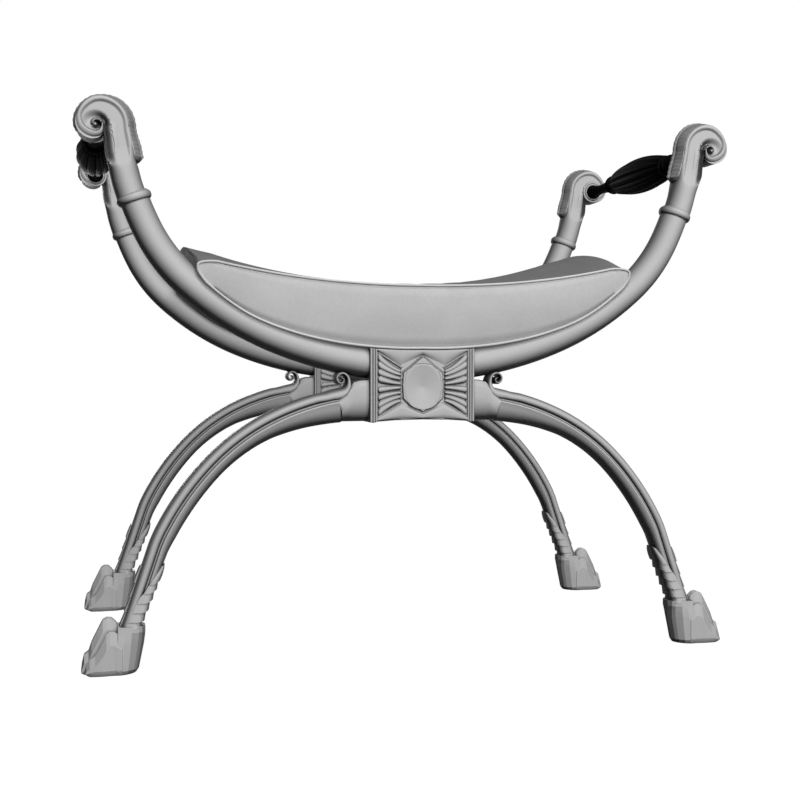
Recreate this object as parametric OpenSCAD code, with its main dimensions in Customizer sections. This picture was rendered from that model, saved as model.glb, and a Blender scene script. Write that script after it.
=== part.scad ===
// Curule window seat: two X-shaped frames, four paw feet, two turned rails and a lift-out seat.
// The origin is on the floor under the middle of the seat, +X is to the right and +Y to the rear.

/* [Frames] */
// Distance between the middle planes of the front and rear frames
frame_spacing = 401.2; // [385:0.1:420]
// Height of the arm's middle line over the centre of the seat
arm_base_z = 361.8; // [352:0.1:372]
// Bend radius of the arm beside the centre block
arm_low_bend_r = 472.6; // [460:0.1:485]
// Bend radius of the arm under the end of the seat
arm_mid_bend_r = 362; // [350:1:374]
// Bend radius of the arm where it turns upright
arm_high_bend_r = 199; // [190:1:208]
// Bend radius of the arm at the collar
arm_top_bend_r = 359; // [340:1:380]
// Diameter of the arm at the centre block
arm_d = 40; // [38:0.1:42]
// Diameter of the arm under the end of the seat
arm_seat_d = 36.8; // [35:0.1:38]
// Diameter of the arm at the collar
arm_collar_d = 34.8; // [33:0.1:36]

/* [Centre block] */
// Width of the centre block
block_w = 132; // [126:1:138]
// Depth of the centre block without its carved panels
block_depth = 41; // [40:0.5:44]
// Height of the block's lower corners above the floor
block_base_z = 293; // [288:0.5:296]
// How far the block's lower edge is arched up at its middle
block_arch = 3; // [1:0.5:5]
// Thickness of a carved panel's ground
panel_t = 1.6; // [1.2:0.1:2]
// How far the carving stands above the panel's ground
relief_h = 1.8; // [1:0.1:2.4]
// Width of the moulded strip on each side of the panel
strip_w = 9; // [7:0.5:11]
// Width of the raised boss
boss_w = 54; // [48:1:58]
// Height of the raised boss
boss_h = 60; // [54:1:62]
// Gadroons on each side of the boss
flute_count = 8; // [6:2:8]

/* [Legs and feet] */
// Distance from the middle of the seat to where the leg's upper edge starts to bend
leg_start_x = 105.4; // [103:0.1:108]
// Height of that point
leg_start_z = 332.9; // [331:0.1:334]
// Bend radius of the leg's upper edge beside the block
leg_low_bend_r = 311.6; // [305:0.1:318]
// Bend radius of the leg's shoulder
leg_mid_bend_r = 266.8; // [262:0.1:272]
// Bend radius of the leg's shin
leg_high_bend_r = 346.4; // [340:0.1:352]
// Bend radius of the leg above the ankle
leg_ankle_bend_r = 150; // [140:1:160]
// Thickness of the leg at the shin
leg_t = 27.5; // [26:0.5:29]
// Depth of the leg from front to rear
leg_w = 34; // [32:0.5:36]
// Height of the leg's shoulder where it meets the block
leg_root_z = 345; // [343:0.5:347]
// Radius of the small curl on top of the leg
curl_r = 9.5; // [8:0.5:10]
// Distance from the middle of the seat to the curl's centre
curl_x = 98; // [96:0.5:100]
// Height of the curl's centre
curl_z = 346; // [345:0.5:347]
// Height of the ankle, where the leg stands in the foot
ankle_z = 56; // [54:0.5:58]
// Length of the foot from heel to claws
foot_l = 75; // [71:0.5:80]
// Depth of the foot from front to rear
foot_w = 43; // [40:0.5:46]
// Height of the middle toes' knuckles
knuckle_z = 65; // [63:0.5:68]
// Height of the feathered cuff above the ankle
cuff_h = 68; // [62:1:72]
// Thickness of the cuff's feathers at the ankle
cuff_t = 6; // [4:0.5:7]

/* [Scroll heads and rails] */
// Diameter of the bead of the collar
collar_d = 39.6; // [38:0.2:42]
// Height of the collar
collar_h = 9.6; // [8:0.2:11]
// Distance outward from the collar to the eye of the scroll
eye_out = 44; // [43:0.1:45]
// Height of the eye of the scroll above the collar
eye_up = 82; // [81:0.1:83]
// Radius of the scroll above its eye
scroll_r = 33; // [31.5:0.1:34]
// Depth of the scroll head between its flat faces
head_depth = 32; // [31:0.5:34]
// Height of the raised bead that edges the scroll's faces
head_bead = 1.2; // [0.8:0.1:1.6]
// Greatest thickness of the leaf over the scroll
leaf_t = 7; // [5:0.5:8]
// Diameter of the tenon at the end of a rail
rail_tenon_d = 12; // [10:0.5:13]
// Greatest diameter of the gadrooned bulb
bulb_d = 50; // [46:0.5:52]
// Length of the gadrooned bulb
bulb_l = 170; // [160:1:180]
// Gadroons around the bulb
bulb_lobes = 12; // [10:1:14]

/* [Seat] */
// Length of the seat's front face
seat_l = 544; // [536:1:552]
// How far the seat's front and rear faces stand proud of the arms
seat_proud = 1.4; // [0.8:0.1:4]
// Height of the seat's front edge at its middle
seat_edge_z = 458; // [452:1:464]
// How much higher the seat's front edge is at its ends
seat_rise = 30; // [24:1:34]
// Crown of the seat across its middle
seat_crown = 14; // [8:1:18]
// Crown of the seat across its ends
seat_end_crown = 36; // [26:1:40]
// Diameter of the piping round the seat's faces
welt_d = 3.4; // [3:0.1:3.8]
// Thickness of the bent seat board
seat_board_t = 12; // [10:0.5:14]

/* [Joinery] */
// Length of the tenons in the blocks
tenon_l = 24; // [18:1:30]
// Diameter of the arm's tenon in the block
arm_tenon_d = 22; // [18:0.5:24]
// Diameter of the leg's tenon in the block
leg_tenon_d = 20; // [16:0.5:22]
// Diameter of the peg that holds the scroll head on the arm
peg_d = 15; // [12:0.5:16]
// Greatest diameter of the stretcher between the blocks
stretcher_d = 32; // [26:1:34]
// Distance from the middle of the seat to a seat bearer
bearer_x = 92; // [90:1:96]
// Width of a seat bearer
bearer_w = 30; // [24:1:34]
// Height of a seat bearer
bearer_h = 15; // [12:0.5:16]

/* [Hidden] */

// Clearance of a peg, pin or tenon in its hole
fit_gap = 0.15;
// Clearance under and beside the lift-out seat
seat_gap = 0.7;
// Clearance between carved pieces that hug each other
trim_gap = 0.3;
// How far a cutting shape runs past what it cuts
overrun = 4;
frame_y = frame_spacing / 2;
seat_w = frame_spacing + arm_d + 2 * seat_proud;
wood_grey = [0.62, 0.62, 0.62];
ebonised = [0.05, 0.05, 0.05];
cover_grey = [0.55, 0.55, 0.55];
beech = [0.72, 0.58, 0.42];
round_fn = 48;

// Value of a table with equal steps at place t, on a smooth line through its entries
function smooth_at(table, t) =
    let (
        last = len(table) - 1,
        i = min(max(floor(t), 0), last - 1),
        f = t - i,
        a = table[max(i - 1, 0)],
        b = table[i],
        c = table[i + 1],
        d = table[min(i + 2, last)]
    )
    b + f * (c - a) / 2 + f * f * (2 * a - 5 * b + 4 * c - d) / 2 + f * f * f * (3 * b - a - 3 * c + d) / 2;

// Step of a chain of arcs from its start to the place where its slope is a
function bend_step(radii, turns, a, i = 0) =
    let (
        stop = i == len(radii) - 1 ? a : min(a, turns[i + 1]),
        step = radii[i] * [sin(stop) - sin(turns[i]), cos(turns[i]) - cos(stop)]
    )
    stop == a ? step : step + bend_step(radii, turns, a, i + 1);

// Closed skin over a list of rings with equal numbers of points; wrapped rings meet end to end
// In a curved shell, a ring runs along the inside and back along the outside, and its ends are closed across it
module skin(rings, wrapped = false, shell = false) {
    n = len(rings[0]);
    m = len(rings);
    spans = wrapped ? m : m - 1;
    sides = [for (j = [0:spans - 1], i = [0:n - 1])
        let (a = j * n + i, b = j * n + (i + 1) % n, c = ((j + 1) % m) * n + (i + 1) % n,
            d = ((j + 1) % m) * n + i)
        each shell && i >= n / 2 ? [[a, b, d], [b, c, d]] : [[a, b, c], [a, c, d]]];
    across = [for (i = [0:n / 2 - 2]) each [[i, i + 1, n - 2 - i], [i, n - 2 - i, n - 1 - i]]];
    shell_caps = concat(
        [for (f = across) [f[2], f[1], f[0]]],
        [for (f = across) [for (i = f) (m - 1) * n + i]]
    );
    flat_caps = [[for (i = [n - 1:-1:0]) i], [for (i = [0:n - 1]) (m - 1) * n + i]];
    caps = wrapped ? [] : shell ? shell_caps : flat_caps;
    polyhedron(points = [for (ring = rings) each ring], faces = concat(sides, caps), convexity = 6);
}

// Flat shape drawn in X and Z, standing upright with its middle at y
module upright(y, depth) {
    translate([0, y, 0]) rotate([90, 0, 0]) linear_extrude(height = depth, center = true) children();
}

// Copy for a corner: side is -1 at the left, end is -1 at the front
module corner(side, end) {
    mirror([side < 0 ? 1 : 0, 0, 0]) mirror([0, end < 0 ? 1 : 0, 0]) children();
}

// Arm

arm_radii = [arm_low_bend_r, arm_mid_bend_r, arm_high_bend_r, arm_top_bend_r];
arm_turns = [0, 22, 42, 64, 90];
collar_slope = 70;
arm_sides = 20;
arm_ring_count = 21;
arm_taper_slopes = [0, 50, 72];

function arm_at(a) = [0, arm_base_z] + bend_step(arm_radii, arm_turns, a);
function arm_r_at(a) = lookup(a, [
    [arm_taper_slopes[0], arm_d / 2],
    [arm_taper_slopes[1], arm_seat_d / 2],
    [arm_taper_slopes[2], arm_collar_d / 2]
]);
function arm_slope_at(x, low = 0, high = 89, steps = 16) =
    let (mid = (low + high) / 2)
    steps == 0 ? mid
    : arm_at(mid)[0] < x ? arm_slope_at(x, mid, high, steps - 1) : arm_slope_at(x, low, mid, steps - 1);

collar_at = arm_at(collar_slope);
collar_way = [cos(collar_slope), sin(collar_slope)];
arm_root_x = block_w / 2;
arm_root_slope = arm_slope_at(arm_root_x);
arm_root_z = arm_at(arm_root_slope)[1];
peg_l = 3 * collar_h;

// Ring of radius r about the point p, square to the slope a
function arm_ring(p, r, a) = [for (i = [0:arm_sides - 1])
    let (t = 360 * i / arm_sides)
    [p[0] - r * sin(t) * sin(a), frame_y + r * cos(t), p[1] + r * sin(t) * cos(a)]];

module arm() {
    root = [arm_root_x, arm_root_z];
    tip = collar_at - collar_way * collar_h / 2;
    peg_tip = collar_at + collar_way * (collar_h / 2 + peg_l);
    last_slope = collar_slope - 2.5;
    color(wood_grey) difference() {
        skin(concat(
            [arm_ring(root - [tenon_l, 0], arm_tenon_d / 2, 0), arm_ring(root, arm_tenon_d / 2, 0)],
            [arm_ring(root, arm_r_at(arm_root_slope), 0)],
            [for (i = [1:arm_ring_count])
                let (a = arm_root_slope + (last_slope - arm_root_slope) * i / arm_ring_count)
                arm_ring(arm_at(a), arm_r_at(a), a)],
            [arm_ring(tip, arm_r_at(collar_slope), collar_slope), arm_ring(tip, peg_d / 2, collar_slope)],
            [arm_ring(peg_tip, peg_d / 2, collar_slope)]
        ));
        arm_dowel_hole();
    }
}

// Turned collar between the arm and the scroll head

module at_collar() {
    translate([collar_at[0], frame_y, collar_at[1]]) rotate([0, 90 - collar_slope, 0]) children();
}

module collar() {
    neck_r = arm_r_at(collar_slope) + head_bead / 2;
    bead_r = collar_d / 2;
    color(wood_grey) at_collar() rotate_extrude($fn = round_fn) polygon(concat(
        [[peg_d / 2 + fit_gap, -collar_h / 2]],
        [for (t = [-90:15:90]) [neck_r + (bead_r - neck_r) * cos(t), collar_h / 2 * sin(t)]],
        [[peg_d / 2 + fit_gap, collar_h / 2]]
    ));
}

// Scroll head

eye = collar_at + [eye_out, eye_up];
head_base = collar_at + collar_way * collar_h / 2;
scroll_step = 30;
scroll_end = 305;
scroll_radius_shares = [1.19, 1.15, 1.09, 1, 0.835, 0.72, 0.67, 0.605, 0.54, 0.485, 0.435, 0.4];
stem_inner_shares = [[1.52, -1.45], [1.45, -1.1], [1.36, -0.72], [1.26, -0.36]];
stem_outer_shares = [[0.27, -0.46], [0.34, -0.86], [0.41, -1.3], [0.98, -1.62]];
throat_share = 0.42;
eye_share = 0.26;
sleeve_top_share = 1.15;

// Point of the scroll at the turn t, with its radius multiplied by k; t is 0 towards the seat
function scroll_at(t, k = 1, out = 0) =
    eye + (scroll_r * smooth_at(scroll_radius_shares, t / scroll_step) * k + out) * [-cos(t), sin(t)];
function stem_at(share, out = 0) = eye + [-share[0] * scroll_r - out, share[1] * scroll_r];

stem_inner = [for (s = stem_inner_shares) stem_at(s)];
stem_outer = [for (s = stem_outer_shares) stem_at(s)];
scroll_turns = [for (t = [0:15:scroll_end]) t];

module head_outline() {
    polygon(concat(stem_inner, [for (t = scroll_turns) scroll_at(t)], stem_outer));
}

module head_bead_outline() {
    bead_turns = [for (t = [0:15:255]) t];
    polygon(concat(
        [for (t = bead_turns) scroll_at(t, 0.97)],
        [for (i = [len(bead_turns) - 1:-1:0]) scroll_at(bead_turns[i], 0.84)]
    ));
}

module throat_outline() {
    throat_turns = [for (t = [-15:15:195]) t];
    polygon(concat(
        [for (t = throat_turns) scroll_at(max(t, 0), throat_share) - [0, t < 0 ? scroll_r * throat_share / 2 : 0]],
        [for (i = [len(throat_turns) - 1:-1:0])
            eye + scroll_r * eye_share * [-cos(throat_turns[i]), sin(throat_turns[i])]]
    ));
}

// Round sleeve of the head on the collar, grown by grow
module head_sleeve(grow = 0) {
    sleeve_r = arm_r_at(collar_slope);
    sleeve_top = eye - [scroll_r * 0.92, scroll_r * sleeve_top_share];
    sleeve_way = sleeve_top - head_base;
    translate([head_base[0], frame_y, head_base[1]]) rotate([0, atan2(sleeve_way[0], sleeve_way[1]), 0])
        translate([0, 0, -collar_h]) cylinder(
            h = norm(sleeve_way) + collar_h + grow, r1 = sleeve_r + grow, r2 = sleeve_r + head_bead / 2 + grow,
            $fn = round_fn
        );
}

module scroll_head() {
    throat_depth = head_depth / 5;
    color(wood_grey) difference() {
        union() {
            upright(frame_y, head_depth) head_outline();
            upright(frame_y, head_depth + 2 * head_bead) head_bead_outline();
            head_sleeve();
        }
        at_collar() translate([0, 0, collar_h / 2 - 2 * collar_h - overrun])
            cylinder(h = 2 * collar_h + overrun, d = 2 * collar_d, $fn = round_fn);
        at_collar() cylinder(h = collar_h / 2 + peg_l + 2 * fit_gap, d = peg_d + 2 * fit_gap, $fn = round_fn);
        for (face = [-1, 1])
            upright(frame_y + face * (head_depth / 2), 2 * throat_depth) throat_outline();
        translate([eye[0], frame_y, eye[1]]) rotate([90, 0, 0])
            cylinder(h = head_depth + 2 * overrun, d = rail_tenon_d + 2 * fit_gap, center = true, $fn = round_fn);
    }
}

// Leaves laid over the scroll head: a long one towards the seat and a short one in the throat

leaf_edge_shares = [0.25, 0.95, 0.9, 0.95, 1, 0.98, 0.9, 0.72, 0.5, 0.55, 0.7, 0.6, 0.2];
leaf_turns = [for (t = [0:15:180]) t];
throat_leaf_shares = [stem_outer_shares[0], stem_outer_shares[1], stem_outer_shares[2]];
throat_leaf_t_share = 0.45;

module scroll_leaf() {
    stem_part = [stem_inner[0], stem_inner[1], stem_inner[2], stem_inner[3]];
    under = concat(stem_part, [for (t = leaf_turns) scroll_at(t)]);
    last = len(under) - 1;
    steps = len(leaf_edge_shares) - 1;
    lifts = [for (i = [0:last]) leaf_t * smooth_at(leaf_edge_shares, steps * i / last)];
    over = [for (i = [0:last])
        i < len(stem_part) ? under[i] - [lifts[i], 0] : scroll_at(leaf_turns[i - len(stem_part)], 1, lifts[i])];
    short_under = [for (s = throat_leaf_shares) stem_at(s)];
    short_t = leaf_t * throat_leaf_t_share;
    color(wood_grey) difference() {
        union() {
            upright(frame_y, head_depth - 2 * head_bead)
                polygon(concat(under, [for (i = [last:-1:0]) over[i]]));
            upright(frame_y, head_depth - 4 * head_bead) polygon(concat(
                short_under,
                [short_under[2] + [short_t / 2, 0], short_under[1] + [short_t, 0], short_under[0] + [short_t / 2, 0]]
            ));
        }
        head_sleeve(trim_gap / 10);
    }
}

// Buttons that cover the rail tenons in the eyes of the scrolls

eye_button_r = scroll_r * eye_share - trim_gap;
rail_tenon_l = head_depth / 2;
eye_stem_l = head_depth / 4;

module scroll_eyes() {
    dome_h = 2 * head_bead;
    color(wood_grey) for (side = [-1, 1], end = [-1, 1])
        corner(side, end) translate([eye[0], frame_y + head_depth / 2, eye[1]]) rotate([-90, 0, 0])
            rotate_extrude($fn = round_fn) polygon(concat(
                [[0, -eye_stem_l], [rail_tenon_d / 2, -eye_stem_l], [rail_tenon_d / 2, 0]],
                [for (t = [0:15:90]) [eye_button_r * cos(t), dome_h * sin(t)]]
            ));
}

// Leg

leg_radii = [leg_low_bend_r, leg_mid_bend_r, leg_high_bend_r, leg_ankle_bend_r];
leg_turns = [10, 26, 46, 63, 90];
ankle_slope = 71.5;
leg_slopes = [10, 14.5, 19, 23.5, 28, 33, 38, 43, 48, 53, 58, 63, 67, 71.5];
leg_thickness_shares = [1.49, 1.41, 1.31, 1.21, 1.12, 1.07, 1.035, 1.01, 1, 1, 0.99, 0.97, 0.94, 0.9];
leg_side_shares = [
    [0, 0], [0.55, 0.03], [0.88, 0.12], [1, 0.26], [0.92, 0.35],
    [1, 0.46], [1, 0.62], [0.8, 0.84], [0.45, 0.97], [0, 1]
];
stub_side_shares = [
    [0, 0], [0.5, 0], [0.95, 0.02], [1, 0.1], [1, 0.25],
    [1, 0.4], [1, 0.55], [0.82, 0.8], [0.5, 0.95], [0, 1]
];
ankle_thickness_share = 0.7;
ankle_width_share = 0.8;

function leg_at(a) =
    let (step = bend_step(leg_radii, leg_turns, a)) [leg_start_x + step[0], leg_start_z - step[1]];
// Points round the leg: w is its half depth, t its thickness, form runs from 0 at the stub to 1 in the leg
function leg_section(w, t, form) =
    let (side = stub_side_shares * (1 - form) + leg_side_shares * form, last = len(side) - 1)
    concat(
        [for (i = [0:last]) [side[i][0] * w, side[i][1] * t]],
        [for (i = [last - 1:-1:1]) [-side[i][0] * w, side[i][1] * t]]
    );
function leg_ring(p, a, section) =
    [for (q = section) [p[0] - q[1] * sin(a), frame_y + q[0], p[1] - q[1] * cos(a)]];
// Upright ring of the stub at x, between the heights top and base
function stub_ring(x, top, base, form) =
    [for (q = leg_section(leg_w / 2, top - base, form)) [x, frame_y + q[0], top - q[1]]];
function round_ring(x, z, r, section, t) =
    [for (q = section) let (a = atan2(q[1] - t / 2, q[0])) [x, frame_y + r * cos(a), z - r * sin(a)]];

ankle_line_at = leg_at(ankle_slope);
ankle_t = leg_t * ankle_thickness_share;
// Where the leg's upper edge reaches the foot, and the middle of the leg there
ankle_edge_x = ankle_line_at[0] + (ankle_line_at[1] - ankle_z) / tan(ankle_slope);
ankle_x = ankle_edge_x - ankle_t / sin(ankle_slope) / 2;
stub_base_z = block_base_z + block_arch / 3;
leg_root_t = leg_root_z - stub_base_z;
leg_tenon_z = (leg_root_z + stub_base_z) / 2;
ankle_tenon_d = 0.7 * ankle_t;
ankle_tenon_l = 0.4 * ankle_z;

function ankle_ring() =
    [for (q = leg_section(leg_w / 2 * ankle_width_share, ankle_t, 1))
        let (drop = q[1] * cos(ankle_slope))
        [ankle_edge_x - q[1] * sin(ankle_slope) - drop / tan(ankle_slope), frame_y + q[0], ankle_z]];
function ankle_tenon_ring(z) =
    [for (q = leg_section(leg_w / 2 * ankle_width_share, ankle_t, 1))
        let (a = atan2(q[1] - ankle_t / 2, q[0]))
        [ankle_x - ankle_tenon_d / 2 * sin(a), frame_y + ankle_tenon_d / 2 * cos(a), z]];

module leg_body() {
    root_section = leg_section(leg_w / 2, leg_root_t, 0);
    start_t = leg_t * leg_thickness_shares[0];
    skin(concat(
        [for (x = [arm_root_x - tenon_l, arm_root_x])
            round_ring(x, leg_tenon_z, leg_tenon_d / 2, root_section, leg_root_t)],
        [stub_ring(arm_root_x, leg_root_z, stub_base_z, 0)],
        [stub_ring((arm_root_x + curl_x - curl_r) / 2, leg_root_z, stub_base_z, 0)],
        [stub_ring(curl_x - curl_r, leg_root_z - block_arch, stub_base_z, 0.2)],
        [for (i = [0:len(leg_slopes) - 1])
            let (a = leg_slopes[i])
            leg_ring(leg_at(a), a, leg_section(leg_w / 2, leg_t * leg_thickness_shares[i], min(1, 0.8 + i / 5)))],
        [ankle_ring(), ankle_tenon_ring(ankle_z), ankle_tenon_ring(ankle_z - ankle_tenon_l)]
    ));
}

// Small curl that ends the moulding on the leg, hollowed to clear the arm above it
module leg_curl() {
    arm_a = arm_slope_at(curl_x);
    difference() {
        upright(frame_y, leg_w) union() {
            translate([curl_x, curl_z]) circle(r = curl_r, $fn = round_fn);
            polygon([
                [curl_x - 1.6 * curl_r, curl_z - curl_r / 2],
                [curl_x - 1.6 * curl_r, curl_z - 2 * curl_r],
                [curl_x + 0.4 * curl_r, curl_z - 2.2 * curl_r],
                [curl_x, curl_z],
                [curl_x - 0.6 * curl_r, curl_z + 0.7 * curl_r]
            ]);
        }
        translate([arm_at(arm_a)[0], frame_y, arm_at(arm_a)[1]]) rotate([0, 90 - arm_a, 0])
            cylinder(h = 8 * curl_r, r = arm_r_at(arm_root_slope) + seat_gap, center = true, $fn = round_fn);
    }
}

module leg() {
    color(wood_grey) union() {
        leg_body();
        leg_curl();
    }
}

// Paw foot, drawn in shares of its length, from the heel, and of the ankle's height

heel_share = 0.235;
heel_x = ankle_x - heel_share * foot_l;
heel_shares = [[0.02, 1], [0.04, 0.73], [0.09, 0.25], [0.15, 0], [0.46, 0], [0.46, 1]];
middle_toe_shares = [
    [0.42, 0], [0.95, 0], [1, 0.07], [0.985, 0.16], [0.92, 0.4], [0.815, 0.67], [0.72, 0.86],
    [0.705, 0.95], [0.67, 1], [0.59, 1], [0.51, 0.97], [0.45, 0.885], [0.42, 0.6]
];
outer_toe_shares = [
    [0.42, 0], [0.88, 0], [0.92, 0.07], [0.87, 0.25], [0.79, 0.37], [0.655, 0.63], [0.63, 0.76],
    [0.57, 0.8], [0.47, 0.79], [0.42, 0.62]
];
heel_plan_shares = [
    [0, 0.2], [0.05, 0.38], [0.14, 0.5], [0.6, 0.5], [0.6, -0.5], [0.14, -0.5], [0.05, -0.38], [0, -0.2]
];
toe_gap = 1.4;
toe_w = (foot_w - 3 * toe_gap) / 4;

function foot_point(share, h) = [heel_x + share[0] * foot_l, share[1] * h];

module toe(shares, y) {
    upright(y, toe_w) polygon([for (s = shares) foot_point(s, knuckle_z)]);
}

module foot() {
    inner_y = (toe_w + toe_gap) / 2;
    outer_y = inner_y + toe_w + toe_gap;
    color(wood_grey) difference() {
        union() {
            intersection() {
                upright(frame_y, foot_w) polygon([for (s = heel_shares) foot_point(s, ankle_z)]);
                translate([heel_x, frame_y, 0]) linear_extrude(height = ankle_z)
                    polygon([for (s = heel_plan_shares) [s[0] * foot_l, s[1] * foot_w]]);
            }
            for (end = [-1, 1]) {
                toe(middle_toe_shares, frame_y + end * inner_y);
                toe(outer_toe_shares, frame_y + end * outer_y);
            }
        }
        translate([ankle_x, frame_y, ankle_z - ankle_tenon_l - fit_gap])
            cylinder(h = ankle_tenon_l + knuckle_z, d = ankle_tenon_d + 2 * fit_gap, $fn = round_fn);
    }
}

// Feathered cuff round the ankle: an inner and an outer wing of feathers that follow the leg upwards

inner_wing_shares = [112, 102, 94, 84, 70, 48, 16] / 180;
outer_wing_shares = [58, 50, 44, 40, 36, 28, 12] / 180;
inner_wing_t_shares = [1, 0.86, 0.62, 0.5, 0.46, 0.44, 0.35];
outer_wing_t_shares = [0.5, 0.5, 0.45, 0.42, 0.42, 0.42, 0.35];
wing_points = 10;
wing_levels = 12;
wing_squareness = 0.6;

function leg_half_at(z) =
    let (share = min(1, (z - ankle_z) / (ankle_line_at[1] - ankle_z)))
    [
        (ankle_t + (leg_t * leg_thickness_shares[13] - ankle_t) * share) / sin(ankle_slope) / 2,
        leg_w / 2 * (ankle_width_share + (1 - ankle_width_share) * share)
    ];
function leg_middle_x(z) =
    ankle_edge_x - (z - ankle_z) / tan(ankle_slope) - leg_half_at(z)[0];
function squared(v) = sign(v) * pow(abs(v), wing_squareness);
function wing_ring(z, spread, t, way) =
    let (
        half = leg_half_at(z) * 1.04 + [trim_gap, trim_gap],
        x = leg_middle_x(z),
        n = wing_points,
        turns = [for (i = [0:n]) spread * (1 - 2 * i / n)]
    )
    concat(
        [for (a = turns) [x + way * half[0] * squared(cos(a)), frame_y + half[1] * squared(sin(a)), z]],
        [for (i = [n:-1:0]) let (a = turns[i])
            [x + way * (half[0] + t) * squared(cos(a)), frame_y + (half[1] + t) * squared(sin(a)), z]]
    );

module wing(way, spread_shares, t_shares) {
    last = len(spread_shares) - 1;
    rings = [for (i = [0:wing_levels])
        let (t = last * i / wing_levels)
        wing_ring(ankle_z + cuff_h * i / wing_levels, 180 * smooth_at(spread_shares, t),
            cuff_t * smooth_at(t_shares, t), way)];
    skin(way < 0 ? rings : [for (ring = rings) [for (i = [len(ring) - 1:-1:0]) ring[i]]],
        shell = true);
}

module inner_wing() {
    color(wood_grey) wing(-1, inner_wing_shares, inner_wing_t_shares);
}

module outer_wing() {
    color(wood_grey) wing(1, outer_wing_shares, outer_wing_t_shares);
}

// Seat lines: the underside follows the arms, the front edge rises to both ends

seat_half = seat_l / 2;
seat_y = seat_w / 2;
seat_lift_shares = [0.505, 0.455, 0.375, 0.285, 0.235, 0.36];
seat_rise_power = 2.2;
nose_start_share = 0.9;
station_shares = [1, 0.985, 0.97, 0.95, 0.91, 0.87, 0.84, 0.76, 0.65, 0.54, 0.43, 0.3, 0.15, 0];
seat_stations = concat(
    [for (s = station_shares) -s * seat_half],
    [for (i = [len(station_shares) - 2:-1:0]) station_shares[i] * seat_half]
);

function arm_z_at(x) = arm_at(arm_slope_at(abs(x)))[1];
function seat_under_z(x) =
    arm_z_at(x) + arm_d * smooth_at(seat_lift_shares, 5 * min(abs(x) / seat_half, 1));
function seat_top_z(x) = seat_edge_z + seat_rise * pow(abs(x) / seat_half, seat_rise_power);
// Share of the front face's height that is left at x, where the face is rounded off to its end
function nose_share(x) =
    let (s = (abs(x) / seat_half - nose_start_share) / (1 - nose_start_share))
    s <= 0 ? 1 : sqrt(max(0, 1 - s * s));
function face_mid_z(x) = (seat_under_z(x) + seat_top_z(x)) / 2;
function face_half_h(x) = (seat_top_z(x) - seat_under_z(x)) / 2 * nose_share(x) + welt_d / 2;
function face_high_z(x) = face_mid_z(x) + face_half_h(x);
function face_low_z(x) = max(face_mid_z(x) - face_half_h(x), seat_under_z(x) + welt_d * 0.4);

// Centre block with its mortises

block_edge = [
    [block_w / 2, block_base_z], [block_w / 4, block_base_z + block_arch * 0.75],
    [0, block_base_z + block_arch], [-block_w / 4, block_base_z + block_arch * 0.75],
    [-block_w / 2, block_base_z]
];
block_top = [for (x = seat_stations) if (abs(x) < block_w / 2) [x, seat_under_z(x) - seat_gap]];
function block_corner(side) = [side * block_w / 2, seat_under_z(block_w / 2) - seat_gap];

module block_outline() {
    polygon(concat(block_edge, [block_corner(-1)], block_top, [block_corner(1)]));
}

module block() {
    hole_l = tenon_l + fit_gap;
    color(wood_grey) difference() {
        upright(frame_y, block_depth) block_outline();
        for (side = [-1, 1], hole = [[arm_root_z, arm_tenon_d], [leg_tenon_z, leg_tenon_d]])
            translate([side * (block_w / 2 - hole_l), frame_y, hole[0]]) rotate([0, side * 90, 0])
                cylinder(h = hole_l + overrun, d = hole[1] + 2 * fit_gap, $fn = round_fn);
        translate([0, frame_y - block_depth / 2 - overrun, stretcher_z]) rotate([-90, 0, 0])
            cylinder(h = stretcher_tenon_l + fit_gap + overrun, d = stretcher_tenon_d + 2 * fit_gap,
                $fn = round_fn);
    }
}

// Carved panel on a face of the block: strips, gadroons and a boss

boss_z = (leg_root_z + block_base_z + block_w / 3) / 2 - block_arch;
flute_shares = [[-0.36, -0.6], [-0.24, -0.4], [-0.14, -0.22], [-0.05, -0.07],
    [0.05, 0.07], [0.14, 0.24], [0.26, 0.42], [0.38, 0.6]];

module flute(low, high, half) {
    inner_x = boss_w / 2 + trim_gap;
    outer_x = block_w / 2 - strip_w - trim_gap;
    bow = (outer_x - inner_x) / 8;
    mid = [(inner_x + outer_x) / 2, (low + high) / 2 - sign(high - low) * bow / 2];
    polygon([
        [inner_x, low - half / 2], [mid[0], mid[1] - half], [outer_x - half, high - half], [outer_x, high],
        [outer_x - half, high + half], [mid[0], mid[1] + half], [inner_x, low + half / 2]
    ]);
}

module panel() {
    ground_y = frame_y + block_depth / 2 + panel_t / 2;
    relief_y = ground_y + relief_h / 2;
    strip_x = block_w / 2 - strip_w / 2;
    step = flute_count > 1 ? (len(flute_shares) - 1) / (flute_count - 1) : 1;
    color(wood_grey) union() {
        upright(ground_y, panel_t) block_outline();
        intersection() {
            upright(relief_y, panel_t + relief_h) block_outline();
            union() {
                for (side = [-1, 1], place = [-1, 1])
                    translate([side * (strip_x + place * strip_w / 4), relief_y, 0])
                        cube([strip_w / 3, panel_t + relief_h, 4 * seat_edge_z], center = true);
                for (side = [0, 1], i = [0:flute_count - 1])
                    let (pair = [smooth_flute(i * step, 0), smooth_flute(i * step, 1)])
                    mirror([side, 0, 0]) upright(relief_y, panel_t + relief_h)
                        translate([0, boss_z]) flute(pair[0] * boss_h, pair[1] * boss_h, boss_h / 26);
            }
        }
        upright(relief_y, panel_t + relief_h) translate([0, boss_z]) boss_outline(1);
        upright(relief_y + relief_h / 4, panel_t + relief_h * 1.5) translate([0, boss_z]) boss_outline(0.8);
    }
}

// The same panel on the side of the block that faces the other frame, drilled for the stretcher
module inner_panel() {
    difference() {
        translate([0, 2 * frame_y, 0]) mirror([0, 1, 0]) panel();
        translate([0, frame_y, stretcher_z]) rotate([90, 0, 0])
            cylinder(h = block_depth, d = stretcher_tenon_d + 2 * fit_gap, $fn = round_fn);
    }
}

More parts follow.
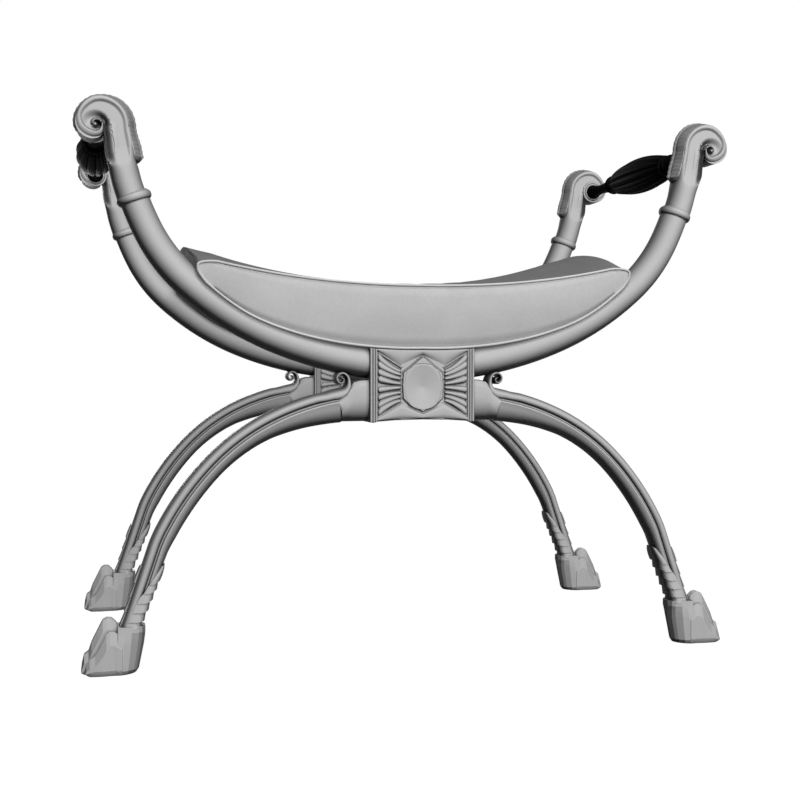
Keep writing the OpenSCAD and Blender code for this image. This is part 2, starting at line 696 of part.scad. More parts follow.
function smooth_flute(t, i) = smooth_at([for (pair = flute_shares) pair[i]], t);

module boss_outline(k) {
    polygon([for (t = [0:22.5:337.5])
        k * [boss_w / 2 * sign(cos(t)) * pow(abs(cos(t)), 0.7), boss_h / 2 * sign(sin(t)) * pow(abs(sin(t)), 0.9)]]);
}

// Turned rail between the front and rear scroll heads

rail_half = frame_y - head_depth / 2 - trim_gap;
rail_profile_shares = [
    [0.52, 0], [0.52, 0.07], [0.45, 0.1], [0.44, 0.14], [0.53, 0.16], [0.53, 0.18], [0.42, 0.2],
    [0.36, 0.34], [0.29, 0.5], [0.28, 0.64], [0.32, 0.78], [0.38, 0.9], [0.43, 0.96], [0.43, 1]
];
bulb_core_share = 0.36;
bulb_profile_shares = [1, 0.985, 0.94, 0.87, 0.77, 0.64];
bulb_flute_share = 0.1;

function rail_side(way) =
    let (
        r = bulb_d / 2,
        start = bulb_l / 2 + trim_gap,
        run = rail_half - start,
        out = concat(
            [[bulb_core_share * r, start]],
            [for (s = rail_profile_shares) [s[0] * r, start + s[1] * run]],
            [[rail_tenon_d / 2, rail_half], [rail_tenon_d / 2, rail_half + rail_tenon_l], [0, rail_half + rail_tenon_l]]
        )
    )
    way > 0 ? out : [for (i = [len(out) - 1:-1:0]) [out[i][0], -out[i][1]]];

module rail() {
    color(ebonised) translate([eye[0], 0, eye[1]]) rotate([-90, 0, 0])
        rotate_extrude($fn = round_fn) polygon(concat(rail_side(-1), rail_side(1)));
}

// Gadrooned bulb, a hollow melon on the rail's core
module rail_bulb() {
    r = bulb_d / 2;
    bore_r = bulb_core_share * r + fit_gap;
    last = len(bulb_profile_shares) - 1;
    places = [for (i = [-last:last]) i / last];
    around = 4 * bulb_lobes;
    color(ebonised) translate([eye[0], 0, eye[1]]) skin([for (k = [0:around - 1])
        let (
            a = 360 * k / around,
            dip = 1 - bulb_flute_share * (1 - abs(sin(180 * k / 4))),
            line = concat(
                [for (p = places) [bulb_l / 2 * p, r * dip * smooth_at(bulb_profile_shares, last * abs(p))]],
                [[bulb_l / 2, bore_r / cos(180 / around)], [-bulb_l / 2, bore_r / cos(180 / around)]]
            )
        )
        [for (q = line) [q[1] * cos(a), q[0], q[1] * sin(a)]]], wrapped = true);
}

// Ringed rosettes where a rail meets the scroll heads
module rail_rosettes() {
    hole_r = 0.43 * bulb_d / 2 + fit_gap;
    rim_r = hole_r + 3 * head_bead;
    color(wood_grey) for (end = [-1, 1])
        corner(1, end) translate([eye[0], frame_y - head_depth / 2, eye[1]]) rotate([90, 0, 0])
            rotate_extrude($fn = round_fn) polygon([
                [hole_r, 0], [rim_r, 0], [rim_r, head_bead / 2], [rim_r - head_bead, head_bead],
                [hole_r + head_bead, head_bead], [hole_r, 2 * head_bead]
            ]);
}

// Stretcher between the blocks

stretcher_z = boss_z;
stretcher_half = frame_y - block_depth / 2 - panel_t - 1.5 * relief_h - trim_gap;
stretcher_tenon_d = stretcher_d * 0.55;
stretcher_tenon_l = block_depth * 0.45;
stretcher_shares = [
    [1, 0], [0.92, 0.12], [0.7, 0.3], [0.62, 0.36], [0.86, 0.4], [0.86, 0.44], [0.6, 0.48],
    [0.66, 0.6], [0.78, 0.8], [0.9, 0.9], [0.9, 1]
];

module stretcher() {
    tip = frame_y - block_depth / 2 + stretcher_tenon_l;
    half_line = [for (s = stretcher_shares) [s[0] * stretcher_d / 2, s[1] * stretcher_half]];
    last = len(half_line) - 1;
    color(wood_grey) translate([0, 0, stretcher_z]) rotate([-90, 0, 0]) rotate_extrude($fn = round_fn)
        polygon(concat(
            [[0, -tip], [stretcher_tenon_d / 2, -tip], [stretcher_tenon_d / 2, -stretcher_half]],
            [for (i = [last:-1:1]) [half_line[i][0], -half_line[i][1]]],
            half_line,
            [[stretcher_tenon_d / 2, stretcher_half], [stretcher_tenon_d / 2, tip], [0, tip]]
        ));
}

// Bearers that carry the seat between the front and rear arms

bearer_slope = arm_slope_at(bearer_x);
bearer_half = frame_y - arm_r_at(bearer_slope) - trim_gap;
bearer_top_z = seat_under_z(bearer_x) - seat_gap;
dowel_d = bearer_h * 0.5;
dowel_l = arm_d * 0.3;

module at_bearer() {
    translate([bearer_x, 0, bearer_top_z]) rotate([0, -bearer_slope, 0]) children();
}

module seat_bearer() {
    color(beech) at_bearer() difference() {
        translate([-bearer_w / 2, -bearer_half, -bearer_h]) cube([bearer_w, 2 * bearer_half, bearer_h]);
        for (end = [-1, 1])
            translate([0, end * bearer_half, -bearer_h / 2]) rotate([90, 0, 0])
                cylinder(h = 2 * dowel_l + 2 * fit_gap, d = dowel_d + 2 * fit_gap, center = true, $fn = round_fn);
    }
}

module bearer_dowels() {
    color(beech) for (side = [-1, 1], end = [-1, 1])
        corner(side, end) at_bearer()
            translate([0, bearer_half - dowel_l, -bearer_h / 2]) rotate([-90, 0, 0])
                cylinder(h = 2 * dowel_l, d = dowel_d, $fn = round_fn);
}

// Holes in an arm for the bearer's dowels
module arm_dowel_hole() {
    at_bearer() translate([0, bearer_half - trim_gap, -bearer_h / 2]) rotate([-90, 0, 0])
        cylinder(h = dowel_l + trim_gap + 2 * fit_gap, d = dowel_d + 2 * fit_gap, $fn = round_fn);
}

// Seat cushion, saddled lengthwise, crowned from front to rear, lapped over the arms

pocket_half = frame_y - arm_d / 2 - 2 * overrun;
dust_t = 1;
pocket_h = dust_t + seat_board_t + trim_gap;
pocket_end_share = 0.88;
groove_points = 6;
crown_points = 6;
face_draw = 1.2;

function crown_at(x) =
    let (s = abs(x) / seat_half)
    seat_crown + (seat_end_crown - seat_crown) * s * s + (seat_top_z(x) - face_mid_z(x)) * (1 - nose_share(x));

// Points of the rear half of the cushion's section at x, from the edge of the board's pocket to its crest
function cushion_side(x) =
    let (
        a = arm_slope_at(abs(x)),
        under = seat_under_z(x),
        low = face_low_z(x),
        high = face_high_z(x),
        ceiling = under + (abs(x) > seat_half * (pocket_end_share + 0.01) ? trim_gap : pocket_h),
        groove_r = arm_r_at(a) + seat_gap + trim_gap / 2,
        reach = groove_r / cos(a),
        start = asin(min(0.98, (low - arm_z_at(x)) / reach)),
        face_h = high - low,
        edge = min(welt_d * 0.76, face_h / 3),
        crown = crown_at(x)
    )
    concat(
        [[pocket_half, ceiling], [pocket_half + trim_gap, under]],
        [for (i = [0:groove_points])
            let (t = 180 - start - (180 - 2 * start) * i / groove_points)
            [frame_y + groove_r * cos(t), arm_z_at(x) + reach * sin(t)]],
        [[seat_y - edge, low], [seat_y, low + edge]],
        [[seat_y - face_draw, low + face_h / 2], [seat_y, high - edge]],
        [for (i = [0:crown_points])
            let (y = (seat_y - edge) * cos(90 * i / crown_points))
            [y, high + crown * (1 - pow(y / (seat_y - edge), 2))]]
    );

function cushion_ring(x) =
    let (side = cushion_side(x), last = len(side) - 1)
    concat(
        [for (q = side) [x, q[0], q[1]]],
        [for (i = [last - 1:-1:0]) [x, -side[i][0], side[i][1]]]
    );

module seat_cushion() {
    color(cover_grey) skin([for (x = seat_stations) cushion_ring(x)]);
}

// Piping round the front or rear face of the seat

welt_sides = 6;

module seat_welt() {
    upper = [for (x = seat_stations) [x, face_high_z(x)]];
    lower = [for (x = seat_stations) [x, face_low_z(x)]];
    last = len(seat_stations) - 1;
    loop = concat(upper, [for (i = [last - 1:-1:1]) lower[i]]);
    n = len(loop);
    color(cover_grey) skin([for (k = [0:n - 1])
        let (
            ahead = loop[(k + 1) % n] - loop[(k + n - 1) % n],
            way = ahead / norm(ahead)
        )
        [for (i = [0:welt_sides - 1])
            let (t = 360 * i / welt_sides)
            [loop[k][0] - welt_d / 2 * cos(t) * way[1], seat_y + welt_d / 2 * sin(t),
                loop[k][1] + welt_d / 2 * cos(t) * way[0]]]], wrapped = true);
}

// Bent strip under the cushion between two heights above its underside, shortened to a share of the seat

module strip_outline(low, high, end_share) {
    places = [for (x = seat_stations) if (abs(x) <= seat_half * (end_share + 0.005)) x];
    polygon(concat(
        [for (x = places) [x, seat_under_z(x) + low]],
        [for (i = [len(places) - 1:-1:0]) [places[i], seat_under_z(places[i]) + high]]
    ));
}

board_half = pocket_half - trim_gap;
board_end_share = 0.86;

module seat_board() {
    color(beech) upright(0, 2 * board_half)
        strip_outline(dust_t, dust_t + seat_board_t, board_end_share);
}

module seat_dust_cover() {
    color("dimgray") upright(0, 2 * board_half) strip_outline(0, dust_t, board_end_share);
}

corner(-1, -1) arm();  // arm_front_left
corner(1, -1) arm();  // arm_front_right
corner(-1, 1) arm();  // arm_rear_left
corner(1, 1) arm();  // arm_rear_right
corner(-1, -1) collar();  // collar_front_left
corner(1, -1) collar();  // collar_front_right
corner(-1, 1) collar();  // collar_rear_left
corner(1, 1) collar();  // collar_rear_right
corner(-1, -1) scroll_head();  // scroll_head_front_left
corner(1, -1) scroll_head();  // scroll_head_front_right
corner(-1, 1) scroll_head();  // scroll_head_rear_left
corner(1, 1) scroll_head();  // scroll_head_rear_right
corner(-1, -1) scroll_leaf();  // scroll_leaf_front_left
corner(1, -1) scroll_leaf();  // scroll_leaf_front_right
corner(-1, 1) scroll_leaf();  // scroll_leaf_rear_left
corner(1, 1) scroll_leaf();  // scroll_leaf_rear_right
scroll_eyes();
corner(-1, -1) leg();  // leg_front_left
corner(1, -1) leg();  // leg_front_right
corner(-1, 1) leg();  // leg_rear_left
corner(1, 1) leg();  // leg_rear_right
corner(-1, -1) foot();  // foot_front_left
corner(1, -1) foot();  // foot_front_right
corner(-1, 1) foot();  // foot_rear_left
corner(1, 1) foot();  // foot_rear_right
corner(-1, -1) inner_wing();  // inner_wing_front_left
corner(1, -1) inner_wing();  // inner_wing_front_right
corner(-1, 1) inner_wing();  // inner_wing_rear_left
corner(1, 1) inner_wing();  // inner_wing_rear_right
corner(-1, -1) outer_wing();  // outer_wing_front_left
corner(1, -1) outer_wing();  // outer_wing_front_right
corner(-1, 1) outer_wing();  // outer_wing_rear_left
corner(1, 1) outer_wing();  // outer_wing_rear_right
corner(1, -1) block();  // block_front
corner(1, 1) block();  // block_rear
corner(1, -1) panel();  // panel_front_outer
corner(1, -1) inner_panel();  // panel_front_inner
corner(1, 1) panel();  // panel_rear_outer
corner(1, 1) inner_panel();  // panel_rear_inner
corner(-1, 1) rail();  // rail_left
corner(1, 1) rail();  // rail_right
corner(-1, 1) rail_bulb();  // rail_bulb_left
corner(1, 1) rail_bulb();  // rail_bulb_right
corner(-1, 1) rail_rosettes();  // rail_rosettes_left
corner(1, 1) rail_rosettes();  // rail_rosettes_right
stretcher();
corner(-1, 1) seat_bearer();  // seat_bearer_left
corner(1, 1) seat_bearer();  // seat_bearer_right
bearer_dowels();
seat_cushion();
corner(1, -1) seat_welt();  // seat_welt_front
corner(1, 1) seat_welt();  // seat_welt_rear
seat_board();
seat_dust_cover();
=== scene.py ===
from math import acos, asin, copysign, cos, degrees, pi, radians, sin, tan

import bmesh
import bpy
import numpy as np
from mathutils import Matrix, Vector


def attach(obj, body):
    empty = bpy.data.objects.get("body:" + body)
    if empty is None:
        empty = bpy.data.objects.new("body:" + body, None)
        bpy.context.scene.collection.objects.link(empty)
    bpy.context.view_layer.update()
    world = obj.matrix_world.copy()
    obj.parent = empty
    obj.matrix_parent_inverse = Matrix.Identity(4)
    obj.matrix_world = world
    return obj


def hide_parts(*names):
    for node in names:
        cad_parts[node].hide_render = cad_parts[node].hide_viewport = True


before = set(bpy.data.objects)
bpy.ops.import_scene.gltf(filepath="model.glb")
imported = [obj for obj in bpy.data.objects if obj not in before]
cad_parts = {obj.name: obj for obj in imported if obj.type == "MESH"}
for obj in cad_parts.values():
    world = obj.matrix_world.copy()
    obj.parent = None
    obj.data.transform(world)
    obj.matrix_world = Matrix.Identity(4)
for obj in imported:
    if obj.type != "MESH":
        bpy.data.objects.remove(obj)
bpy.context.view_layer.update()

# Curule window seat. Shapes are worked out in millimetres, for the corner at +X and +Y, with y counted from
# the middle plane of the frame, and mirrored to the other corners.

MM = 0.001
FRAME_Y = 200.6   # from the object's middle to the middle plane of a frame
CORNERS = {"front_left": (-1, -1), "front_right": (1, -1), "rear_left": (-1, 1), "rear_right": (1, 1)}


# Table and curve helpers

def steps(start, stop, count):
    return np.linspace(start, stop, count)


def around(count):
    """count turns spread evenly over a circle"""
    return steps(0, 2 * pi, count + 1)[:-1]


def along(line):
    """Distance run along a line at each of its points"""
    return np.concatenate([[0], np.cumsum(np.linalg.norm(np.diff(line, axis=0), axis=1))])


def ease(value):
    """0 below 0, 1 above 1 and a smooth rise between"""
    value = np.clip(value, 0.0, 1.0)
    return value * value * (3.0 - 2.0 * value)


def table(place, places, values):
    """Values of a table at place, on a smooth line through its entries"""
    places = np.asarray(places, float)
    values = np.asarray(values, float)
    slopes = np.gradient(values, places, axis=0)
    place = np.clip(np.asarray(place, float), places[0], places[-1])
    i = np.clip(np.searchsorted(places, place, side="right") - 1, 0, len(places) - 2)
    width = places[i + 1] - places[i]
    t = (place - places[i]) / width
    if values.ndim > 1:
        t, width = t[..., None], width[..., None]
    return (values[i] * (1 + 2 * t) * (1 - t) ** 2 + slopes[i] * width * t * (1 - t) ** 2
            + values[i + 1] * t * t * (3 - 2 * t) + slopes[i + 1] * width * t * t * (t - 1))


def columns(*parts):
    return np.stack(parts, axis=-1)


def line_through(points, count):
    """count points spread evenly on a smooth line through the points given"""
    points = np.asarray(points, float)
    reach = along(points)
    dense = table(steps(0, reach[-1], 40 * len(points)), reach, points)
    run = along(dense)
    places = steps(0, run[-1], count)
    return columns(*[np.interp(places, run, column) for column in dense.T])


def normals_2d(line):
    """Unit normals of a flat line, to the left of its way"""
    way = np.gradient(line, axis=0)
    way /= np.linalg.norm(way, axis=1)[:, None]
    return columns(-way[:, 1], way[:, 0])


# Mesh helpers: a shell is a list of points and a list of faces

def loft(rings, closed=False, capped=True):
    """Shell over rings of points, all with the same number of points"""
    rings = np.asarray(rings, float)
    m, n, _ = rings.shape
    j = np.arange(m if closed else m - 1)[:, None]
    i = np.arange(n)[None, :]
    a, b = j * n + i, j * n + (i + 1) % n
    c, d = ((j + 1) % m) * n + (i + 1) % n, ((j + 1) % m) * n + i
    faces = columns(a, b, c, d).reshape(-1, 4).tolist()
    if capped and not closed:
        faces += [list(range(n))[::-1], [(m - 1) * n + k for k in range(n)]]
    return rings.reshape(-1, 3), faces


def ring_at(at, out, offsets):
    """Points about a place on a flat line, from pairs of a distance along Y and one along out"""
    return [(at[0] + q * out[0], y, at[1] + q * out[1]) for y, q in offsets]


def both_sides(side):
    """Ring of points on one side of a frame's middle plane and their mirror images"""
    return side + [(x, -y, z) for x, y, z in side[::-1]]


def sheet_of(grid):
    """Shell over one grid of points"""
    m, n, _ = grid.shape
    j, i = np.arange(m - 1)[:, None], np.arange(n - 1)[None, :]
    a = j * n + i
    faces = columns(a, a + 1, a + n + 1, a + n).reshape(-1, 4).tolist()
    return grid.reshape(-1, 3), faces


def turned(profile, sides):
    """Shell turned about Z from (radius, height) pairs that start and end on the axis or meet each other"""
    profile = np.asarray(profile, float)
    return loft([[(r * cos(t), r * sin(t), h) for r, h in profile] for t in around(sides)], closed=True)


def placed(shell, at=(0, 0, 0), turn=None):
    """Shell turned by a 3 by 3 table and moved to a place"""
    points, faces = shell
    points = np.asarray(points, float)
    if turn is not None:
        points = points @ np.asarray(turn, float).T
    return points + np.asarray(at, float), faces


def tilt(lean):
    """Turn about Y that leans +Z towards +X by an angle"""
    c, s = cos(radians(lean)), sin(radians(lean))
    return [[c, 0, s], [0, 1, 0], [-s, 0, c]]


ALONG_Y = [[1, 0, 0], [0, 0, 1], [0, -1, 0]]
AGAINST_Y = [[1, 0, 0], [0, 0, -1], [0, 1, 0]]
WELD = 1e-5   # metres within which points are joined


def added(name, data):
    """Object in the scene with the data given"""
    thing = bpy.data.objects.new(name, data)
    bpy.context.scene.collection.objects.link(thing)
    return thing


def places_of(mesh):
    return np.array([v.co[:] for v in mesh.vertices])


def make(name, shells, finish, body, stands_for, corner=(1, 1), sharp=None, bevel=0.0):
    """One piece from shells in millimetres, mirrored to its corner"""
    points, faces, count = [], [], 0
    for shell_points, shell_faces in shells:
        points.append(np.asarray(shell_points, float))
        faces += [[k + count for k in face] for face in shell_faces]
        count += len(shell_points)
    flip = np.array([corner[0], corner[1], 1]) * MM
    mesh = bpy.data.meshes.new(name)
    mesh.from_pydata((np.concatenate(points) * flip).tolist(), [], faces)
    work = bmesh.new()
    work.from_mesh(mesh)
    bmesh.ops.remove_doubles(work, verts=work.verts, dist=WELD)
    bmesh.ops.dissolve_degenerate(work, edges=work.edges, dist=WELD / 100)
    bmesh.ops.recalc_face_normals(work, faces=work.faces)
    work.to_mesh(mesh)
    work.free()
    mesh.shade_smooth()
    if sharp is not None:
        mesh.set_sharp_from_angle(angle=radians(sharp))
    piece = added(name, mesh)
    mesh.materials.append(FINISHES[finish])
    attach(piece, body)
    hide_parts(*stands_for)
    if bevel:
        round_edges(piece, bevel)
    return piece


def round_edges(piece, width):
    """Small rounded edges on a faceted piece, with its flats kept flat"""
    edges = piece.modifiers.new("edges", "BEVEL")
    edges.width, edges.segments, edges.limit_method = width * MM, 2, "ANGLE"
    edges.angle_limit = radians(20)
    edges.harden_normals = True


def in_frame(shell):
    """Shell moved from the middle plane of a frame to its place"""
    points, faces = shell
    return np.asarray(points, float) + [0, FRAME_Y, 0], faces


def make_at_corners(kinds):
    """Painted frame pieces at each corner, from rows of name, the node it stands for, shells and make's options"""
    for corner, way in CORNERS.items():
        for name, stands_for, shells, options in kinds:
            make(name + "_" + corner, [in_frame(shell) for shell in shells], "frame_grey", "frame",
                 [stands_for.replace("*", corner)], way, **options)


# Shader groups and finishes

def node(tree, kind, inputs=None, **values):
    """Node with its values set and each input named or numbered in inputs linked to a socket or set to a value"""
    made = tree.nodes.new(kind)
    for key, value in values.items():
        setattr(made, key, value)
    for key, source in (inputs or {}).items():
        if hasattr(source, "is_output"):
            tree.links.new(source, made.inputs[key])
        else:
            made.inputs[key].default_value = source
    return made


def empty_tree(owner):
    """Cleared node tree of a material or world"""
    owner.use_nodes = True
    owner.node_tree.nodes.clear()
    return owner.node_tree


def calculate(tree, operation, *values):
    return node(tree, "ShaderNodeMath", dict(enumerate(values)), operation=operation).outputs[0]


def remap(tree, value, low, high, to_low=0.0, to_high=1.0):
    inputs = {"Value": value, "From Min": low, "From Max": high, "To Min": to_low, "To Max": to_high}
    return node(tree, "ShaderNodeMapRange", inputs).outputs["Result"]


def blend(tree, share, first, second, way="MIX"):
    """Colour between two colours"""
    inputs = {"Factor": share, 6: first, 7: second}
    return node(tree, "ShaderNodeMix", inputs, data_type="RGBA", blend_type=way).outputs[2]


def noise(tree, place, scale, detail, roughness=0.5, distortion=0.0):
    inputs = {"Vector": place, "Scale": scale, "Detail": detail, "Roughness": roughness, "Distortion": distortion}
    return node(tree, "ShaderNodeTexNoise", inputs).outputs["Fac"]


def own_place(tree):
    return node(tree, "ShaderNodeTexCoord").outputs["Object"]


def drawn_out(tree, place, scale):
    return node(tree, "ShaderNodeMapping", {"Vector": place, "Scale": scale}).outputs["Vector"]


def split(tree, vector):
    return node(tree, "ShaderNodeSeparateXYZ", {"Vector": vector}).outputs


def surface_normal(tree):
    return split(tree, node(tree, "ShaderNodeNewGeometry").outputs["Normal"])


def group_of(name, inputs, fill):
    """Shader group with named inputs; fill(tree, given) adds its nodes and returns what it puts out by name"""
    tree = bpy.data.node_groups.new(name, "ShaderNodeTree")
    for label, value in inputs.items():
        kind = "NodeSocketFloat" if isinstance(value, float) else "NodeSocketColor"
        tree.interface.new_socket(name=label, in_out="INPUT", socket_type=kind).default_value = value
    results = fill(tree, tree.nodes.new("NodeGroupInput").outputs)
    for label in results:
        kind = "NodeSocketColor" if label == "Colour" else "NodeSocketFloat"
        tree.interface.new_socket(name=label, in_out="OUTPUT", socket_type=kind)
    node(tree, "NodeGroupOutput", results)
    return tree


def painted_shade_by_side(tree, colour, painted_side_shade):
    """Painted shade: full colour where a surface looks forwards or backwards, darker where it looks up, down or
    sideways, as if lit from the front
    """
    across = surface_normal(tree)["Y"]
    # painted shade grows with how far the surface turns from looking forwards or backwards
    tone = remap(tree, calculate(tree, "MULTIPLY", across, across), 0.0, 1.0, painted_side_shade, 1.0)
    return blend(tree, 1.0, colour, tone, "MULTIPLY")


def fill_paint(tree, given):
    """Hand-brushed paint: cloudy tone, fine brush lines and a soft grain in the height, with painted shade in the
    recesses and on surfaces turned from the front
    """
    place = own_place(tree)
    cloud, speck = noise(tree, place, 22.0, 5.0, 0.6), noise(tree, place, 420.0, 3.0, 0.55)
    brush = noise(tree, drawn_out(tree, place, (60.0, 700.0, 700.0)), 1.0, 4.0, 0.6)
    tone = remap(tree, calculate(tree, "ADD", cloud, speck), 0.7, 1.3)
    amount = calculate(tree, "MULTIPLY", tone, given["Variation"])
    colour = blend(tree, amount, given["Colour"], given["Worn colour"])
    # painted shade in the recesses, read from ambient occlusion; it also serves as a darker glaze wiped off the high
    # places and left in the recesses
    depth = node(tree, "ShaderNodeAmbientOcclusion", {"Distance": 0.007}, samples=8).outputs["AO"]
    painted_recess_shaded = blend(tree, remap(tree, depth, 0.25, 0.85, given["Painted recess shade"], 0.0), colour, given["Painted recess shade colour"])
    # painted shade also darkens surfaces that turn away from the front
    return {"Colour": painted_shade_by_side(tree, painted_recess_shaded, given["Painted side shade"]),
            "Roughness": remap(tree, brush, 0.3, 0.7, given["Roughness low"], given["Roughness high"]),
            "Height": calculate(tree, "ADD", brush, speck)}


def fill_weave(tree, given):
    """Plain weave: two sets of threads seen from above, front and side, with slubs, a cloudy tone and painted shade on
    surfaces turned from the front
    """
    place = own_place(tree)
    axes = split(tree, place)
    on_top = calculate(tree, "GREATER_THAN", calculate(tree, "ABSOLUTE", surface_normal(tree)["Z"]), 0.55)
    second = node(tree, "ShaderNodeMix", {"Factor": on_top, 2: axes["Z"], 3: axes["Y"]}, data_type="FLOAT").outputs[0]

    def threads(value):
        turns = calculate(tree, "MULTIPLY", value, given["Threads per metre"])
        return calculate(tree, "SINE", calculate(tree, "MULTIPLY", turns, 2 * pi))

    both = calculate(tree, "MULTIPLY", threads(axes["X"]), threads(second))
    rise = calculate(tree, "MULTIPLY_ADD", both, 0.5, noise(tree, place, 260.0, 4.0, 0.6))
    tone = calculate(tree, "MULTIPLY_ADD", rise, 0.45, noise(tree, place, 9.0, 4.0, 0.55))
    colour = blend(tree, remap(tree, tone, 0.3, 1.1), given["Dark"], given["Light"])
    # painted shade darkens surfaces that turn away from the front, such as the top of the seat
    return {"Colour": painted_shade_by_side(tree, colour, given["Painted side shade"]), "Height": rise}


def fill_grain(tree, given):
    """Planed wood: long grain lines along X with pores"""
    place = drawn_out(tree, own_place(tree), (14.0, 160.0, 160.0))
    both = calculate(tree, "ADD", noise(tree, place, 1.0, 6.0, 0.6, 0.8), noise(tree, place, 6.0, 2.0))
    return {"Colour": blend(tree, remap(tree, both, 0.7, 1.3), given["Dark"], given["Light"]), "Height": both}


def grey(value):
    return (value, value, value, 1.0)


# the paint and the weave carry painted shade: in the paint's recesses, and on surfaces of either that turn from the
# front
PAINT = group_of("Brushed paint", {"Colour": grey(0.5), "Worn colour": grey(0.4), "Variation": 0.5, "Painted recess shade": 0.8,
                                   "Painted side shade": 1.0, "Painted recess shade colour": grey(0.05), "Roughness low": 0.35,
                                   "Roughness high": 0.5}, fill_paint)
WEAVE = group_of("Plain weave", {"Dark": grey(0.3), "Light": grey(0.5), "Threads per metre": 900.0, "Painted side shade": 1.0},
                 fill_weave)
GRAIN = group_of("Wood grain", {"Dark": (0.3, 0.2, 0.1, 1), "Light": (0.5, 0.4, 0.3, 1)}, fill_grain)


def finish_of(name, group, settings, distance, strength, shine):
    """Material from a shader group: its colour, its roughness if it has one and its height as a bump"""
    material = bpy.data.materials.new(name)
    material.use_nodes = True
    tree = material.node_tree
    shader = tree.nodes["Principled BSDF"]
    source = node(tree, "ShaderNodeGroup", settings, node_tree=group)
    bump = node(tree, "ShaderNodeBump",
                {"Height": source.outputs["Height"], "Distance": distance, "Strength": strength})
    tree.links.new(source.outputs["Colour"], shader.inputs["Base Color"])
    tree.links.new(bump.outputs["Normal"], shader.inputs["Normal"])
    if "Roughness" in source.outputs:
        tree.links.new(source.outputs["Roughness"], shader.inputs["Roughness"])
    for label, value in shine.items():
        shader.inputs[label].default_value = value
    return material


def painted(name, colour, worn, variation, rough, distance, painted_recess_shade=0.0, specular=0.5, painted_side_shade=1.0):
    """Brushed paint on wood; rough is its lowest and highest roughness. It can carry painted shade in its recesses and
    on surfaces turned from the front
    """
    settings = {"Colour": colour, "Worn colour": worn, "Variation": variation, "Painted recess shade": painted_recess_shade, "Painted side shade": painted_side_shade,
                "Roughness low": rough[0], "Roughness high": rough[1]}
    return finish_of(name, PAINT, settings, distance, 0.35, {"Specular IOR Level": specular})


# Woven cloth; it can carry painted shade on surfaces turned from the front
def woven(name, dark, light, threads, distance, painted_side_shade=1.0):
    settings = {"Dark": dark, "Light": light, "Threads per metre": threads, "Painted side shade": painted_side_shade}
    return finish_of(name, WEAVE, settings, distance, 0.5,
                     {"Roughness": 0.85, "Specular IOR Level": 0.03, "Sheen Weight": 0.01, "Sheen Roughness": 0.5})


def planed(name, dark, light):
    return finish_of(name, GRAIN, {"Dark": dark, "Light": light}, 0.0002, 0.4, {"Roughness": 0.6})


FINISHES = {
    # the frame paint carries painted shade in its recesses and on surfaces turned from the front; the seat cloth
    # carries it on surfaces turned from the front
    "frame_grey": painted("Stone-grey matt paint", grey(0.48), grey(0.40), 0.35, (0.5, 0.62), 0.00006,
                          painted_recess_shade=0.85, specular=0.04, painted_side_shade=0.15),
    "rail_black": painted("Ebonised polish", grey(0.002), grey(0.004), 0.6, (0.5, 0.58), 0.00004, specular=0.003),
    "seat_cover": woven("Grey seat cloth", grey(0.38), grey(0.54), 800.0, 0.00012, painted_side_shade=0.24),
    "piping": woven("Grey piping cloth", grey(0.42), grey(0.56), 1000.0, 0.0001),
    "beech": planed("Planed beech", (0.30, 0.19, 0.11, 1), (0.46, 0.32, 0.20, 1)),
    "dust_cloth": woven("Black lining cloth", grey(0.012), grey(0.03), 900.0, 0.0001),
}


# Lines of the frame

ARM_RADII, ARM_TURNS = (472.6, 362.0, 199.0, 359.0), (0, 22, 42, 64, 90)
LEG_RADII, LEG_TURNS = (311.6, 266.8, 346.4, 150.0), (10, 26, 46, 63, 90)
ARM_START, LEG_START = (0, 361.8), (105.4, 332.9)   # where the two chains of arcs start
COLLAR_SLOPE = 70.0
EYE_FROM_COLLAR = (44, 82)
ANKLE_SLOPE, ANKLE_Z = 71.5, 56.0
ANKLE_SIN, ANKLE_TAN = sin(radians(ANKLE_SLOPE)), tan(radians(ANKLE_SLOPE))
IN_BLOCK_X = 60   # where arms and legs start, inside the centre block


def bend_chain(radii, turns, slope):
    """Step from the start of a chain of arcs to the place where its slope is reached"""
    x = z = 0.0
    for radius, low, high in zip(radii, turns, turns[1:]):
        stop = min(slope, high)
        if stop > low:
            a, b = radians(low), radians(stop)
            x += radius * (sin(b) - sin(a))
            z += radius * (cos(a) - cos(b))
    return np.array([x, z])


def arm_at(slope):
    return bend_chain(ARM_RADII, ARM_TURNS, slope) + ARM_START


def arm_r(slope):
    return np.interp(slope, (0, 50, 72), (20, 18.4, 17.4))


def leg_at(slope):
    return LEG_START + bend_chain(LEG_RADII, LEG_TURNS, slope) * [1, -1]


ARM_SLOPES = steps(0, 90, 1801)
ARM_LINE = np.array([arm_at(s) for s in ARM_SLOPES])
LEG_END = leg_at(ANKLE_SLOPE)
COLLAR_AT = arm_at(COLLAR_SLOPE)
EYE = COLLAR_AT + EYE_FROM_COLLAR


def arm_slope_at(x):
    return np.interp(np.abs(x), ARM_LINE[:, 0], ARM_SLOPES)


def arm_z_at(x):
    return np.interp(np.abs(x), ARM_LINE[:, 0], ARM_LINE[:, 1])


# Arms and collars

def arm_shell():
    """Round bar from inside the block to inside the collar"""
    rings = []
    for slope in steps(arm_slope_at(IN_BLOCK_X), COLLAR_SLOPE, 64):
        r, a = arm_r(slope), radians(slope)
        rings.append(ring_at(arm_at(slope), (-sin(a), cos(a)), [(r * cos(t), r * sin(t)) for t in around(64)]))
    return loft(rings)


